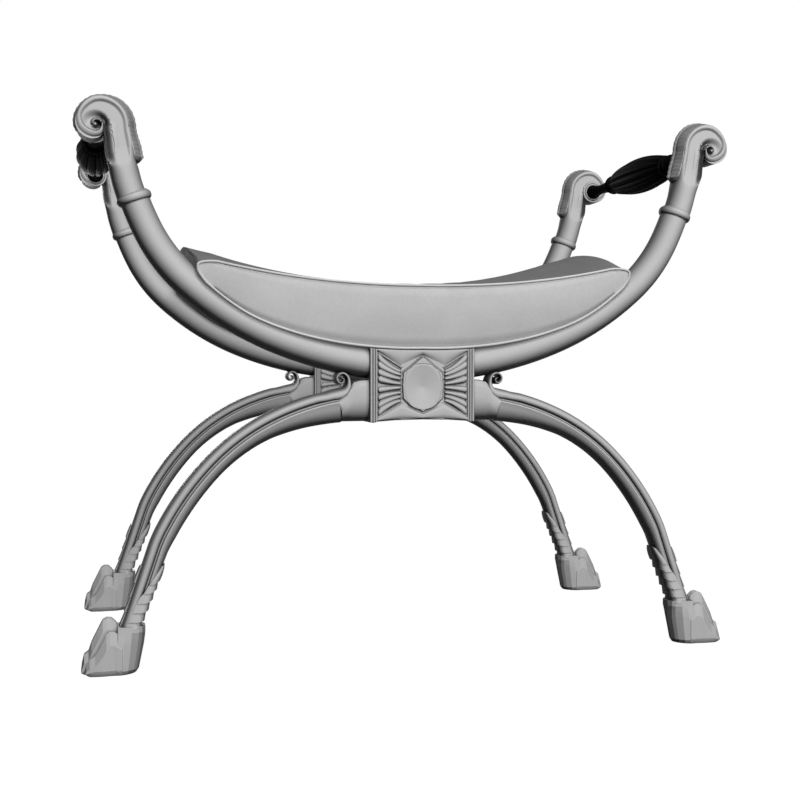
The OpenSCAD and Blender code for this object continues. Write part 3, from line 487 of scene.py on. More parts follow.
def collar_shell():
    """Turned bead between two narrow fillets, square to the arm"""
    r = arm_r(COLLAR_SLOPE)
    bead = [(r + 0.2 + 3.2 * cos(radians(t)), 5.0 * sin(radians(t))) for t in range(-90, 91, 10)]
    profile = [(r - 3, -5.8), (r + 0.1, -5.8), (r + 0.3, -5.2)] + bead
    profile += [(r + 0.3, 5.3), (r + 0.3, 6.0), (r - 0.1, 6.3), (r - 3, 6.3)]
    return placed(turned(profile, 72), (COLLAR_AT[0], 0, COLLAR_AT[1]), tilt(90 - COLLAR_SLOPE))


# Scroll heads, in polar places about the eye: t is 0 towards the seat, 90 above the eye

def by_degree(places, values):
    """Values of a table at each whole degree from 0 to its last place"""
    return table(np.arange(places[-1] + 1), places, values)


OUTLINE = by_degree([0, 30, 60, 90, 113, 137, 160, 180, 205, 225, 250, 270, 300, 330, 360],
                    [38.5, 37.8, 35.8, 32.6, 28.6, 25, 23, 22, 20.5, 19, 17.3, 16, 14, 10.5, 8.6])
CREST = by_degree([0, 30, 60, 90, 110, 150, 184, 210, 229, 283, 330, 367, 405, 450, 500, 540, 570],
                  [35.6, 34.8, 32.4, 28.8, 25.4, 20.6, 14.8, 11, 9.4, 8.7, 8.2, 8, 7, 5.2, 3.2, 1.5, 0.4])
CREST_INNER = by_degree([0, 90, 150, 184, 210, 360], [4.6, 4.6, 4.6, 4, 3.2, 3])
EDGE_DROP = by_degree([0, 140, 180, 210, 270, 300, 330, 360], [3, 3, 5.5, 7.5, 7.5, 5.5, 2.5, 0.4])
FUNNEL = by_degree([0, 45, 90, 130, 290, 335, 360], [10, 7.5, 4.6, 3.6, 3.6, 6.5, 10])
FUNNEL_R = by_degree([0, 30, 60, 360], [18.2, 17.6, 17.5, 17.5])
FACE_Y, BEAD_H, ROLL_START = 15.6, 2.2, 8.6
STEM_HALF_Y = 17.7


def at_degree(turn, values):
    return np.interp(turn, np.arange(len(values)), values)


def swell(distance):
    """1 at 0 and 0 at 1 and beyond, on a rounded curve"""
    return np.where(np.abs(distance) < 1, 0.5 + 0.5 * np.cos(np.pi * np.clip(distance, -1, 1)), 0.0)


def head_face(r, t):
    """Height of the scroll's face above its flat, at radius r and turn t"""
    k = np.clip(t, 0, 360)
    crest, out, inner, drop = (at_degree(k, values) for values in (CREST, OUTLINE, CREST_INNER, EDGE_DROP))
    base = -at_degree(k, FUNNEL) * ease((at_degree(k, FUNNEL_R) - r) / 9.5)
    outside = np.clip((r - crest) / np.maximum(out - crest, 0.3), 0, 1)
    outer_side = BEAD_H - drop * (1 - np.sqrt(1 - outside ** 2))
    inward = (crest - r) / inner
    inner_side = base + (BEAD_H - base) * swell(inward) - 1.2 * np.exp(-((inward - 1.05) * inner / 0.9) ** 2)
    height = np.where(r > crest, outer_side, inner_side)
    second = at_degree(k + 360, CREST)
    width = np.interp(k, (0, 180), (4.0, 4.2))
    roll = base + (BEAD_H - 0.3 - base) * swell((r - second) / width) * (1 - ease((k - 165) / 50))
    middle = base + (BEAD_H - 0.7 - base) * swell(r / 5.2)
    return np.maximum(np.maximum(height, np.where(k <= 212, roll, base)), middle)


def polar(r, t):
    a = np.radians(t)
    return EYE[0] - r * np.cos(a), EYE[1] + r * np.sin(a)


STEM_IN = np.array([(-38.5, 0), (-40.2, -10), (-42, -18), (-44.2, -28), (-46.4, -38), (-48.7, -44.6),
                    (-53.2, -61.5), (-59.8, -79.8)])
STEM_OUT = np.array([(-8.6, 0), (-8.1, -6), (-9.4, -13.5), (-10.3, -24), (-11.4, -34), (-13.2, -41),
                     (-18.8, -66), (-26.7, -91.8)])
WALL = (0.6, 0.2, -0.2, -0.6)


def scroll_head_shells():
    inner_r = steps(0, ROLL_START, 12)[:-1]
    shares = steps(0, 1, 30)
    front = []
    for t in steps(0, 360, 121):
        r = np.concatenate([inner_r, ROLL_START + shares * (at_degree(t, OUTLINE) - ROLL_START)])
        x, z = polar(r, t)
        front.append(columns(x, FACE_Y + head_face(r, t), z))
    front = np.array(front)
    edge = front[:, -1]
    wall = np.stack([edge * [1, w, 1] for w in (1,) + WALL + (-1,)], axis=1)
    shells = [sheet_of(front), sheet_of(front * [1, -1, 1]), sheet_of(wall)]

    # stem from the scroll down to the collar: its face turns from flat to round
    rows = 44
    inside, outside = line_through(STEM_IN, rows), line_through(STEM_OUT, rows)
    across = 1 - shares[::-1]
    r = OUTLINE[0] - across * (OUTLINE[0] - ROLL_START)
    face = head_face(r, 0.0)
    rings = []
    for k in range(rows):
        level = inside[k][1]
        y_flat = FACE_Y + face * ease((level + 46) / 14.0) + (1 - ease((level + 80) / 60.0)) * 6
        power = 2.0 + 6 * ease((level + 62) / 50.0) ** 2 + 24 * ease((level + 30) / 26.0) ** 2
        y_round = STEM_HALF_Y * np.maximum(1 - np.abs(2 * across - 1) ** power, 0) ** (1 / power)
        y = y_flat if k == 0 else np.minimum(y_flat, y_round)
        at = inside[k] + across[:, None] * (outside[k] - inside[k]) + EYE
        fronts = columns(at[:, 0], y, at[:, 1])
        ring = list(fronts) + [fronts[-1] * [1, w, 1] for w in WALL]
        ring += list(fronts[::-1] * [1, -1, 1]) + [fronts[0] * [1, -w, 1] for w in WALL]
        rings.append(ring)
    return shells + [loft(rings, capped=False)]


def strap(line, out, tops, under, half_top, half_under):
    """Shell along a flat line: each ring has its tops above the line, across its half width, and a flat underside"""
    y = steps(-1, 1, len(tops[0]))
    rings = []
    for k, top in enumerate(tops):
        ring = ring_at(line[k], out[k], zip(y * half_top[k], top))
        rings.append(ring + ring_at(line[k], out[k], [(w * half_under[k], -under) for w in y[::-1]]))
    return loft(rings)


LOBE_STEP, RIB_STEP, VEIN_STEP = 13.5, 5.2, 6.5   # lengths of leaf from one lobe, rib or bead of the vein to the next


def leaf_shell():
    """Long leaf on the seat side of the stem and over the scroll: two lobes with a ribbed vein between"""
    stem = line_through(STEM_IN[:6] + EYE, 60)[::-1]
    arc = np.array([polar(at_degree(t, OUTLINE), t) for t in steps(2, 196, 130)])
    line = np.concatenate([stem[4:-1], arc])
    run = along(line)
    share = run / run[-1]
    thick = table(share, [0, 0.012, 0.03, 0.08, 0.25, 0.4, 0.5, 0.62, 0.75, 0.9, 1],
                  [0.6, 4.8, 7.8, 8.9, 7.8, 7.6, 6.6, 4, 3.4, 3, 1])
    half = table(share, [0, 0.015, 0.045, 0.1, 0.18, 0.5, 0.85, 0.95, 1], [1, 6.5, 11.5, 14.8, 15.6, 15.8, 15, 12, 7])
    lobes = 0.35 * (0.5 + 0.5 * np.cos(2 * np.pi * run / LOBE_STEP))
    y = steps(-1, 1, 41)
    tops = []
    for k in range(len(line)):
        ribs = 0.22 * np.cos(2 * np.pi * (run[k] / RIB_STEP - np.abs(y) * 0.5)) * ease((np.abs(y) - 0.22) / 0.15)
        vein = 0.9 * swell(y / 0.2) * (0.75 + 0.25 * cos(2 * pi * run[k] / VEIN_STEP))
        dip = -0.9 * np.exp(-((np.abs(y) - 0.24) / 0.06) ** 2)
        tops.append(thick[k] * (1 - np.abs(y) ** 1.35) + (ribs + vein + dip - 0.35 * lobes[k]) * (1 - y ** 4))
    width = half - 0.5 * lobes
    return strap(line, normals_2d(line), tops, 2.6, width, width)


def squared(value, power=0.6):
    return np.sign(value) * np.abs(value) ** power


def scale_tip():
    """Small swelling lump, squarer in depth and leaned over"""
    rings = []
    for v in np.radians(steps(-90, 90, 8)[1:-1]):
        depth = copysign(abs(sin(v)) ** 0.55, sin(v))
        size = cos(v) ** 0.5
        rings.append([(1.1 * size * squared(cos(t), 0.75), depth, 1.7 * size * squared(sin(t), 0.75))
                      for t in around(12)])
    return placed(loft(rings), turn=tilt(20))


THROAT = np.array([(-19, -41), (-21.4, -34), (-22, -24), (-20.6, -14), (-19, -4), (-17.6, 3), (-14, 9.5), (-8, 13),
                   (-2, 12.5)])


def throat_leaf_shells():
    """Short leaf on the outer side of the stem: a row of overlapping scales that ends in a hooked finger"""
    line = line_through(THROAT + EYE, 90)
    run = along(line)
    share = run / run[-1]
    thick = table(share, [0, 0.08, 0.2, 0.35, 0.6, 0.78, 0.92, 1], [0.5, 5.0, 9.2, 10.2, 9.6, 7.6, 4.6, 1.0])
    half = table(share, [0, 0.08, 0.25, 0.6, 0.8, 1], [12, 15.4, 16.2, 16.2, 15.0, 12])
    y = steps(-1, 1, 33)
    tops = []
    for k in range(len(line)):
        slant = (run[k] - 5.0 * np.abs(y)) / 7.2
        scale = 0.9 * (slant - np.floor(slant)) ** 1.5
        tops.append((thick[k] - scale * min(1, thick[k] / 3)) * (1 - np.abs(y) ** 1.5))
    shells = [strap(line, -normals_2d(line), tops, 4.0, half, half - 0.4)]
    # small tips of the scales along the edge of the stem's face
    for place in steps(30, 50, 4):
        x, z = (np.interp(place, run, line[:, k]) for k in (0, 1))
        shells += [placed(scale_tip(), (x + 0.6, way * 15.4, z)) for way in (-1, 1)]
    return shells


def eye_button_shell():
    """Small dome in the middle of the swirl"""
    dome = [(1.7 * cos(radians(t)), 1.5 * sin(radians(t))) for t in range(0, 91, 15)]
    return placed(turned([(0, -9)] + dome, 24), (EYE[0], FACE_Y + 0.3, EYE[1]), ALONG_Y)


def build_heads():
    make_at_corners([
        ("arm_bar", "arm_*", [arm_shell()], {}),
        ("collar_bead", "collar_*", [collar_shell()], {}),
        ("volute", "scroll_head_*", scroll_head_shells(), {"sharp": 40}),
        ("acanthus", "scroll_leaf_*", [leaf_shell()] + throat_leaf_shells(), {"sharp": 50}),
        ("eye", "scroll_eyes", [eye_button_shell()], {}),
    ])


# Legs: a lower body and a rounded band on it that ends in a small curl

LEG_T = ([10, 14.5, 19, 23.5, 28, 33, 38, 43, 48, 53, 58, 63, 67, 71.5],
         [41, 38.8, 36, 33.3, 30.8, 29.4, 28.5, 27.8, 27.5, 27.5, 27.2, 26.7, 25.9, 24.8])
ANKLE_T = LEG_T[1][-1]
BAND_T, BAND_W = 6.8, 16.0   # half thickness and half width of the band
STUB_TOP, STUB_BASE, STUB_W = 345.0, 294.0, 17.0
# right halves of sections, as half widths and depths below the upper edge: the stub's are shares of its size, and
# below GROOVE_END the leg's depths are shares of what is left of its thickness
STUB_HALF = [(0.55, 0.0), (0.8, 0.02), (0.96, 0.1), (0.99, 0.16), (1, 0.3), (1, 0.42), (0.985, 0.52), (0.93, 0.62),
             (0.86, 0.7), (0.75, 0.79), (0.6, 0.87), (0.42, 0.94), (0.22, 0.985), (0.06, 1.0)]
LEG_GROOVE = [(9.0, 9.0), (13.2, 12.6), (13.4, 13.4), (14.6, 14.2), (16.2, 15.0), (16.6, 16.4), (16.0, 18.0)]
GROOVE_END = LEG_GROOVE[-1][1]
LEG_HALF = [(15.0, 0.2), (13.6, 0.4), (11.6, 0.58), (9.2, 0.74), (6.4, 0.88), (3.4, 0.97), (1.0, 1)]


def leg_stations():
    """Upper edge, slope and thickness down the leg, to inside the foot"""
    rows = [(leg_at(s), s, np.interp(s, *LEG_T)) for s in steps(10, ANKLE_SLOPE, 50)]
    slope = radians(ANKLE_SLOPE)
    length = (LEG_END[1] - ANKLE_Z + 6) / ANKLE_SIN
    for share in steps(0, 1, 16)[1:]:
        at = LEG_END + np.array([cos(slope), -sin(slope)]) * length * share
        rows.append((at, ANKLE_SLOPE, ANKLE_T - 5.4 * share))
    return rows


def leg_body_shell():
    """Squared stub inside the block that runs on as the grooved leg"""
    rings = []
    for x, top in ((IN_BLOCK_X, STUB_TOP), (66, STUB_TOP), (76, STUB_TOP - 0.5), (84, STUB_TOP - 2.5),
                   (88, STUB_TOP - 7), (93, STUB_TOP - 16), (99, STUB_TOP - 21)):
        height = top - STUB_BASE + 0.01 * (x - IN_BLOCK_X)
        rings.append(both_sides(ring_at((x, top), (0, -1), [(STUB_W * y, height * q) for y, q in STUB_HALF])))
    for at, slope, t in leg_stations():
        a = radians(slope)
        half = LEG_GROOVE + [(y, GROOVE_END + share * (t - GROOVE_END)) for y, share in LEG_HALF]
        squeeze = min(1.0, 0.82 + 0.18 * t / ANKLE_T)
        rings.append(both_sides(ring_at(at, (-sin(a), -cos(a)), [(y * squeeze, q) for y, q in half])))
    return loft(rings)


CURL = [(118, 322.6), (108, 324.8), (100, 326.2), (94, 329.2), (90.6, 334), (89.6, 340), (90.4, 346), (93.2, 350.8),
        (98, 352.8), (102.6, 351), (104.8, 346.6), (103.4, 342.2), (99.6, 340.4), (96.6, 342.4), (96.6, 345.8),
        (98.8, 346.9)]
CURL_START_X, ANKLE_X = 128, 340   # nearer to the block the band follows CURL, and past ANKLE_X it grows narrower
CURL_T = [BAND_T, 7.3, 7.6, 6.8, 5.2, 3.8, 2.9, 2.6, 2.4, 2.3, 2.2, 2.1, 1.9, 1.7, 1.5, 1.2]


def leg_band_shell():
    """Rounded band along the leg's upper side, up to the small curl beside the block"""
    middle = []
    for at, slope, _ in leg_stations():
        a = radians(slope)
        middle.append((at[0] - BAND_T * sin(a), at[1] - BAND_T * cos(a), BAND_T, BAND_W))
    middle = [m for m in middle if m[0] > CURL_START_X][::-1]
    curl = [(x, z, t, BAND_W - 1.6 * min(1, k / 6)) for k, ((x, z), t) in enumerate(zip(CURL, CURL_T))]
    line = line_through(np.array(middle + curl), 210)
    rings = []
    for (x, z, t, w), out in zip(line, normals_2d(line[:, :2])):
        w *= 1 - 0.18 * max(0, x - ANKLE_X) / 25
        section = [(w * squared(cos(turn), 0.8), t * squared(sin(turn), 0.85)) for turn in around(32)]
        rings.append(ring_at((x, z), out, section))
    return loft(rings)


# Feathered cuffs round the ankle

CUFF_LINES = (53, 61, 72, 83, 94, 104, 120)   # heights of the feathers' lower edges
INNER_CUFF = [(116, 42), (113, 50), (103, 61), (98, 73), (94, 84), (89, 94), (82, 104), (76, 110), (66, 115), (34, 120)]
OUTER_LINES = (56, 72, 88, 104, 122)
OUTER_CUFF = [(365, 50), (362, 62), (358, 80), (353, 100), (347, 122)]


def ankle_half(z):
    """Half sizes of the ankle's section along X and Y"""
    share = np.clip((z - ANKLE_Z) / (LEG_END[1] - ANKLE_Z), 0, 1)
    return (19.25 + 5.5 * share) / ANKLE_SIN / 2, 13.8 + 3.2 * share


def ankle_middle(z):
    edge = LEG_END[0] + (LEG_END[1] - ANKLE_Z) / ANKLE_TAN
    return edge - (z - ANKLE_Z) / ANKLE_TAN - ankle_half(z)[0]


def wing_shell(way, spreads, places, depth, lines, rise):
    """Overlapping feathers on one side of the ankle; each is thickest at its lower edge"""
    rings = []
    rows = [lines[0] - 0.8]
    for low, high in zip(lines, lines[1:]):
        rows += [low + 0.05, *steps(low + 0.6, high - 0.05, 7)]
    for z in rows:
        spread = table(max(z, places[0]), places, spreads)
        index = max(0, int(np.searchsorted(lines, z, side="right")) - 1)
        low, high = lines[index], lines[min(index + 1, len(lines) - 1)]
        share = (z - low) / max(high - low, 1)
        last = index >= len(lines) - 2
        t = 1.0 + depth * (1 - 0.85 * share) if not last else 1.6 + depth * (1 - share ** 3) * 0.8
        if z < lines[0]:
            t = 1.0 + 0.3 * depth
        ring_out, ring_in = [], []
        for turn in steps(-1, 1, 25):
            a = radians(spread * turn)
            c, s = squared(cos(a)), squared(sin(a))
            lift = rise * max(0.0, (z - lines[0]) / (lines[-1] - lines[0])) * cos(a) ** 2
            level = z + lift
            hx, hy = ankle_half(level)
            middle = ankle_middle(level)
            edge = 1 - 0.55 * abs(turn) ** 6
            ring_out.append((middle + way * (hx + t * edge) * c, (hy + t * edge) * s, level))
            ring_in.append((middle + way * (hx - 1.5) * c, (hy - 1.5) * s, level))
        rings.append(ring_out + ring_in[::-1])
    return loft(rings)


def outer_spreads():
    """Half spread of the outer feathers at the heights of OUTER_CUFF, from where their edge runs"""
    spreads = []
    for x, z in OUTER_CUFF:
        share = (x - ankle_middle(z)) / (ankle_half(z)[0] + 1.5)
        spreads.append(degrees(acos(np.clip(squared(share, 1 / 0.6), -0.4, 0.95))))
    return spreads


# Paw feet: each toe is a run of flat facets from its claw back into the heel, given as places along X with the
# heights of its ridge and shoulder and the Y of its outer side

OUTER_TOE = [(404, 7, 4, 18.5), (402, 13, 6, 19.5), (398, 20, 9, 20.2), (392, 24.5, 12, 20.8),
             (386.5, 33, 18, 21.2), (382, 42, 24, 21.2), (379, 49, 30, 20.8), (375, 52, 36, 20.2), (370, 51.5, 36, 20),
             (366, 49, 33, 20.5), (361, 44, 30, 20.6)]
MIDDLE_TOE = [(408, 6, 3, 8.8), (407, 14, 7, 9.5), (404.5, 24, 14, 10), (399.5, 27.5, 17, 10.2), (396, 38, 25, 10.5),
              (391, 48, 34, 10.5), (386.5, 57, 42, 10.2), (383, 63.5, 50, 9.6), (378.5, 66, 53, 9.4),
              (373, 65.5, 52, 9.4), (368, 61, 47, 9.8), (362, 50, 38, 10.4)]
# the heel's height, back, half width and front, and the share of its upper plan in its section
HEEL = [(0, 345, 19.4, 366.5, 0), (5, 341.5, 21.4, 367, 0), (34, 335.6, 20.8, 366.5, 0.1), (42, 334.6, 19.6, 366, 0.4),
        (49, 334, 17.8, 366, 1), (56, 334, 17.4, 366, 1)]


def heel_shell():
    """Faceted heel, half round at its back and squarer where it meets the ankle"""
    places = (0, 0.12, 0.24, 0.5, 0.76, 1.0)
    low_half = np.array([0.12, 0.42, 0.58, 0.82, 0.93, 0.955])
    top_half = np.array([0.4, 0.74, 0.88, 1.0, 1.0, 0.97])
    rings = []
    for z, back, wide, front, top in HEEL:
        half = low_half + (top_half - low_half) * top
        rings.append(both_sides([(back + (front - back) * u, wide * v, z) for u, v in zip(places, half)]))
    return loft(rings)


def toe_shell(stations, inner, way):
    """Faceted toe with a bevelled sole, an upright side, a sloping shoulder and a ridge"""
    rings = []
    for k, (x, ridge, shoulder, outer) in enumerate(stations):
        sole = min(x, stations[0][0] - 5.5 - 0.8 * k)
        bevel = min(6.5, 0.6 * shoulder)
        middle = inner + 0.5 * (outer - inner)
        section = [(sole, inner, 0), (sole, outer - 1.9, 0), (x - 0.3 * (x - sole), outer, bevel), (x, outer, shoulder),
                   (x, middle, ridge), (x, inner, ridge - 0.4 * (ridge - shoulder))]
        rings.append([(px, way * y, z) for px, y, z in section])
    return loft(rings)


def foot_shells():
    toes = [toe_shell(stations, inner, way) for way in (-1, 1)
            for stations, inner in ((MIDDLE_TOE, 0.2), (OUTER_TOE, 10.6))]
    return [heel_shell()] + toes


def build_legs():
    inner = wing_shell(-1, *zip(*INNER_CUFF), 3.3, CUFF_LINES, 8.0)
    outer = wing_shell(1, outer_spreads(), [z for x, z in OUTER_CUFF], 1.8, OUTER_LINES, 4.0)
    make_at_corners([
        ("leg_body", "leg_*", [leg_body_shell(), leg_band_shell()], {"sharp": 32}),
        ("inner_feathers", "inner_wing_*", [inner], {"sharp": 35}),
        ("outer_feathers", "outer_wing_*", [outer], {"sharp": 35}),
        ("paw", "foot_*", foot_shells(), {"sharp": 8, "bevel": 0.45}),
    ])


# Carved panels on the centre blocks

SEAT_HALF, SEAT_Y, SEAT_LIFT = 272.0, 222.0, (0.505, 0.455, 0.375, 0.285, 0.235, 0.36)


def seat_under_z(x):
    share = np.minimum(np.abs(x) / SEAT_HALF, 1)
    return arm_z_at(x) + 40 * table(share, steps(0, 1, 6), SEAT_LIFT)


FLUTE_IN = (355, 351, 346, 340, 335, 329, 324, 319)
FLUTE_OUT = (373, 364, 354.5, 346, 332, 322.5, 313, 304)
BOSS_FRAME = np.array([(0, 374), (8, 367.6), (16, 360.6), (25.5, 353.5), (26.6, 337), (25.5, 321), (16, 311.6),
                       (0, 304.8)])
BOSS_Z, BOSS_HALF = 335.8, (21.7, 27.0)
GROUND, FLUTE_RISE = -1.3, 3.9   # height of the carving's ground, and how far flutes and boss rise from it
FLUTE_FROM, FLUTE_TO, FLUTE_BEND = 27.5, 56.5, 1.45   # along X, and how strongly the flutes bend away
FIELD_X, UPPER_FIELD, LOWER_FIELD = (0, 27, 57), (374, 359.5, 378.5), (304, 317, 299)   # edges of the plain fields
PANEL_HALF, STRIP_X, BLOCK_FACE_Y = 66.0, 57.0, 20.5
PANEL_BASE = ((0, 33, PANEL_HALF), (296, 295.25, 293))
PANEL_H = 80   # about, to count its rows


def frame_distance(x, z):
    """Distance to the boss's outline, counted inwards"""
    best = np.full(x.shape, 1e9)
    ax = np.abs(x)
    for (x0, z0), (x1, z1) in zip(BOSS_FRAME, BOSS_FRAME[1:]):
        dx, dz = x1 - x0, z1 - z0
        t = np.clip(((ax - x0) * dx + (z - z0) * dz) / (dx * dx + dz * dz), 0, 1)
        best = np.minimum(best, np.hypot(ax - x0 - t * dx, z - z0 - t * dz))
    edge = np.interp(z, BOSS_FRAME[::-1, 1], BOSS_FRAME[::-1, 0], left=-1, right=-1)
    return np.where(ax < edge, best, -best)


def panel_height(x, z, top, base):
    """Height of the carving at places on the panel, whose edges lie at top and base"""
    ax = np.abs(x)
    field = ease((FLUTE_TO - ax) / 1.2)
    near = np.interp(ax, FIELD_X, UPPER_FIELD)
    near_low = np.interp(ax, FIELD_X, LOWER_FIELD)
    upper = np.clip((z - near) / np.maximum(top - near, 1), 0, 1)
    lower = np.clip((near_low - z) / np.maximum(near_low - base, 1), 0, 1)
    # the fields above and below the boss are pillows: they rise from their curved lines and roll off outwards
    h = GROUND + 3.5 * (1 - (1 - upper / 0.8) ** 2) * (upper > 0)
    pillow = np.where(lower < 0.35, 1 - (1 - lower / 0.35) ** 2, 1 - ((lower - 0.35) / 0.65) ** 4)
    h = np.where(lower > 0, GROUND + 3.4 * pillow, h)
    length = FLUTE_TO - FLUTE_FROM
    s = np.clip((ax - FLUTE_FROM) / length, 0, 1)
    bend = s ** FLUTE_BEND
    carved = np.full(x.shape, GROUND)
    for z0, z1 in zip(FLUTE_IN, FLUTE_OUT):
        line = z0 + (z1 - z0) * bend
        slope = (z1 - z0) * FLUTE_BEND * np.maximum(s, 0.02) ** (FLUTE_BEND - 1) / length
        across = np.abs(z - line) / np.sqrt(1 + slope ** 2)
        half = (2.3 + 2.2 * s) * np.sqrt(np.clip(1 - np.clip((s - 0.86) / 0.14, 0, 1) ** 2, 0, 1))
        half = half * np.clip(s / 0.05, 0, 1) ** 0.5
        body = np.sqrt(np.clip(1 - (across / np.maximum(half, 1e-3)) ** 2, 0, 1))
        carved = np.maximum(carved, (GROUND + FLUTE_RISE * body) * ((ax > FLUTE_FROM) & (ax < FLUTE_TO)))
    ridge_up = GROUND + 2.8 * swell((z - near) / 1.3)
    ridge_low = GROUND + 2.4 * swell((z - near_low) / 1.3)
    ridge = np.where((ax > 25) & (ax < 55.5), np.maximum(ridge_up, ridge_low), GROUND)
    h = np.maximum(h, np.maximum(carved, ridge) * field)
    inward = frame_distance(x, z)
    u, v = ax / BOSS_HALF[0], np.abs(z - BOSS_Z) / BOSS_HALF[1]
    reach = (u ** 2.7 + v ** 2.7) ** (1 / 2.7)
    # the oval's dish is a fan of flat facets that falls to its middle, set round with a raised line
    fan = np.zeros(x.shape)
    for turn in np.radians(7.5 + 15 * np.arange(6)):
        fan = np.maximum(fan, u * cos(turn) + v * sin(turn))
    dish = 2.4 - FLUTE_RISE * np.clip(1 - fan, 0, 1)
    band = GROUND + FLUTE_RISE * ease(inward / 1.7) - 0.8 * np.exp(-((reach - 1.035) / 0.02) ** 2)
    outline = 0.5 * np.exp(-((inward + 0.5) / 0.6) ** 2) * (ax < 28)
    h = np.where(inward > 0, np.where(reach < 1.0, dish, band), h - outline)
    # moulded strips at the sides: two reeds and a fillet
    strip = np.zeros(x.shape)
    for middle, half, high in ((64.4, 1.7, 1.7), (61.1, 1.4, 1.9), (58.3, 1.3, 1.8)):
        strip = np.maximum(strip, high * np.sqrt(np.clip(1 - ((ax - middle) / half) ** 2, 0, 1)))
    return np.where(ax > STRIP_X, strip, h)


def panel_shells(step):
    """Closed slab with the carving on its outer side"""
    side = steps(STRIP_X, PANEL_HALF, int((PANEL_HALF - STRIP_X) / (step * 0.5)))
    xs = np.concatenate([-side[::-1], steps(-STRIP_X, STRIP_X, int(2 * STRIP_X / step))[1:-1], side])
    top = seat_under_z(xs) - 0.7
    base = np.interp(np.abs(xs), *PANEL_BASE) - 0.8 * swell((np.abs(xs) - 61.5) / 5)
    z = base + steps(0, 1, int(PANEL_H / step))[:, None] * (top - base)
    x = np.broadcast_to(xs, z.shape)
    rim = np.clip(np.minimum(np.minimum(z - base, top - z), PANEL_HALF - np.abs(x)) / 0.8, 0, 1)
    high = panel_height(x, z, top, base) - 0.8 * (1 - np.sqrt(1 - (1 - rim) ** 2))
    face = columns(x, BLOCK_FACE_Y + 1.6 + high, z)
    back = columns(x, np.full(x.shape, BLOCK_FACE_Y - 0.2), z)
    shells = [sheet_of(face), sheet_of(back)]
    for cut in (np.s_[0, :], np.s_[-1, :], np.s_[:, 0], np.s_[:, -1]):
        shells.append(sheet_of(np.stack([face[cut], back[cut]], axis=0)))
    return shells


def build_panels():
    outer = [in_frame(shell) for shell in panel_shells(0.55)]
    inner = [in_frame((points * [1, -1, 1], faces)) for points, faces in panel_shells(0.9)]
    for row, end in (("front", -1), ("rear", 1)):
        for side, shells in (("outer", outer), ("inner", inner)):
            place = row + "_" + side
            make("carved_panel_" + place, shells, "frame_grey", "frame", ["panel_" + place], (1, end))


# Turned rails with gadrooned bulbs

SCROLL_HALF = 16.0   # half thickness of a scroll, where the rails end
RAIL_HALF = FRAME_Y - SCROLL_HALF - 0.3
BULB_HALF, BULB_R = 85.0, 25.0


def rail_shell():
    run = RAIL_HALF - BULB_HALF
    marks = [(0.5, 0), (0.56, 0.012), (0.56, 0.06), (0.5, 0.075), (0.43, 0.1), (0.43, 0.125), (0.5, 0.14),
             (0.55, 0.15), (0.565, 0.165), (0.55, 0.18), (0.45, 0.192), (0.42, 0.21), (0.385, 0.28), (0.33, 0.42),
             (0.29, 0.54), (0.28, 0.64), (0.295, 0.74), (0.34, 0.84), (0.385, 0.915), (0.42, 0.945), (0.43, 0.96),
             (0.43, 1.0), (0.3, 1.0)]
    half = [(0.3 * BULB_R, BULB_HALF - 4)] + [(r * BULB_R, BULB_HALF + s * run) for r, s in marks]
    half += [(0.24 * BULB_R, RAIL_HALF + 6), (0, RAIL_HALF + 6)]
    return placed(turned([(r, -h) for r, h in half[::-1]] + half, 56), (EYE[0], 0, EYE[1]), ALONG_Y)


def bulb_shell():
    """Twelve swelling gadroons with deep grooves between, rounded off at both ends"""
    per_gadroon = 14
    places = np.sin(steps(-np.pi / 2, np.pi / 2, 61))
    outline = table(np.abs(places), [0, 0.2, 0.4, 0.6, 0.8, 0.93, 1.0], [1, 0.985, 0.94, 0.865, 0.76, 0.665, 0.56])
    fade = ease((1 - np.abs(places)) / 0.02)
    rings = []
    for k, a in enumerate(around(12 * per_gadroon)):
        groove = 1 - abs(sin(pi * k / per_gadroon)) ** 0.6
        r = np.concatenate([[0.4], outline * (1 - 0.15 * groove * fade), [0.4]]) * BULB_R
        y = np.concatenate([[-0.97], places * (1 - 0.018 * groove), [0.97]]) * BULB_HALF
        rings.append(columns(r * cos(a), y, r * sin(a)))
    return placed(loft(rings, closed=True), (EYE[0], 0, EYE[1]))


def rosette_shell():
    """Ringed plate where the rail meets the scroll"""
    marks = [(9, -3), (16.2, -3), (16.2, 0.6), (15.4, 1.2), (14.4, 1.0), (13.6, 0.4), (12.9, 1.1), (12.2, 2.0),
             (11.4, 2.2), (10.9, 1.6), (9, 1.4)]
    return placed(turned(marks, 56), (EYE[0], -(SCROLL_HALF - 0.4), EYE[1]), AGAINST_Y)


def build_rails():
    for name, side in (("left", -1), ("right", 1)):
        make("turned_rail_" + name, [rail_shell()], "rail_black", "frame", ["rail_" + name], (side, 1))
        make("gadrooned_bulb_" + name, [bulb_shell()], "rail_black", "frame", ["rail_bulb_" + name], (side, 1),
             sharp=60)
        points, faces = in_frame(rosette_shell())
        shells = [(points * [1, end, 1], faces) for end in (-1, 1)]
        make("rosettes_" + name, shells, "frame_grey", "frame", ["rail_rosettes_" + name], (side, 1), sharp=50)


# Upholstered seat

WELT_D, CROWN, END_CROWN = 3.4, 11.0, 29.0
SEAM_DEPTH = 2.6                   # how far the cloth is drawn in beside the piping
STUFFING_FRAMES, STUFFING_CAP = 20, 3.0   # frames of the simulation, and the farthest that it moves a point
BOARD_SHARE, BOARD_HALF_Y = 0.84, 172.3   # the seat board's length as a share of the seat's, and its half width


def seat_top_z(x):
    return 458 + 30 * (np.abs(x) / SEAT_HALF) ** 2.2


def nose_share(x):
    """Share of the face's height that is left towards the rounded ends"""
    s = np.clip((np.abs(x) / SEAT_HALF - 0.9) / 0.1, 0, 1)
    return np.sqrt(1 - s * s)


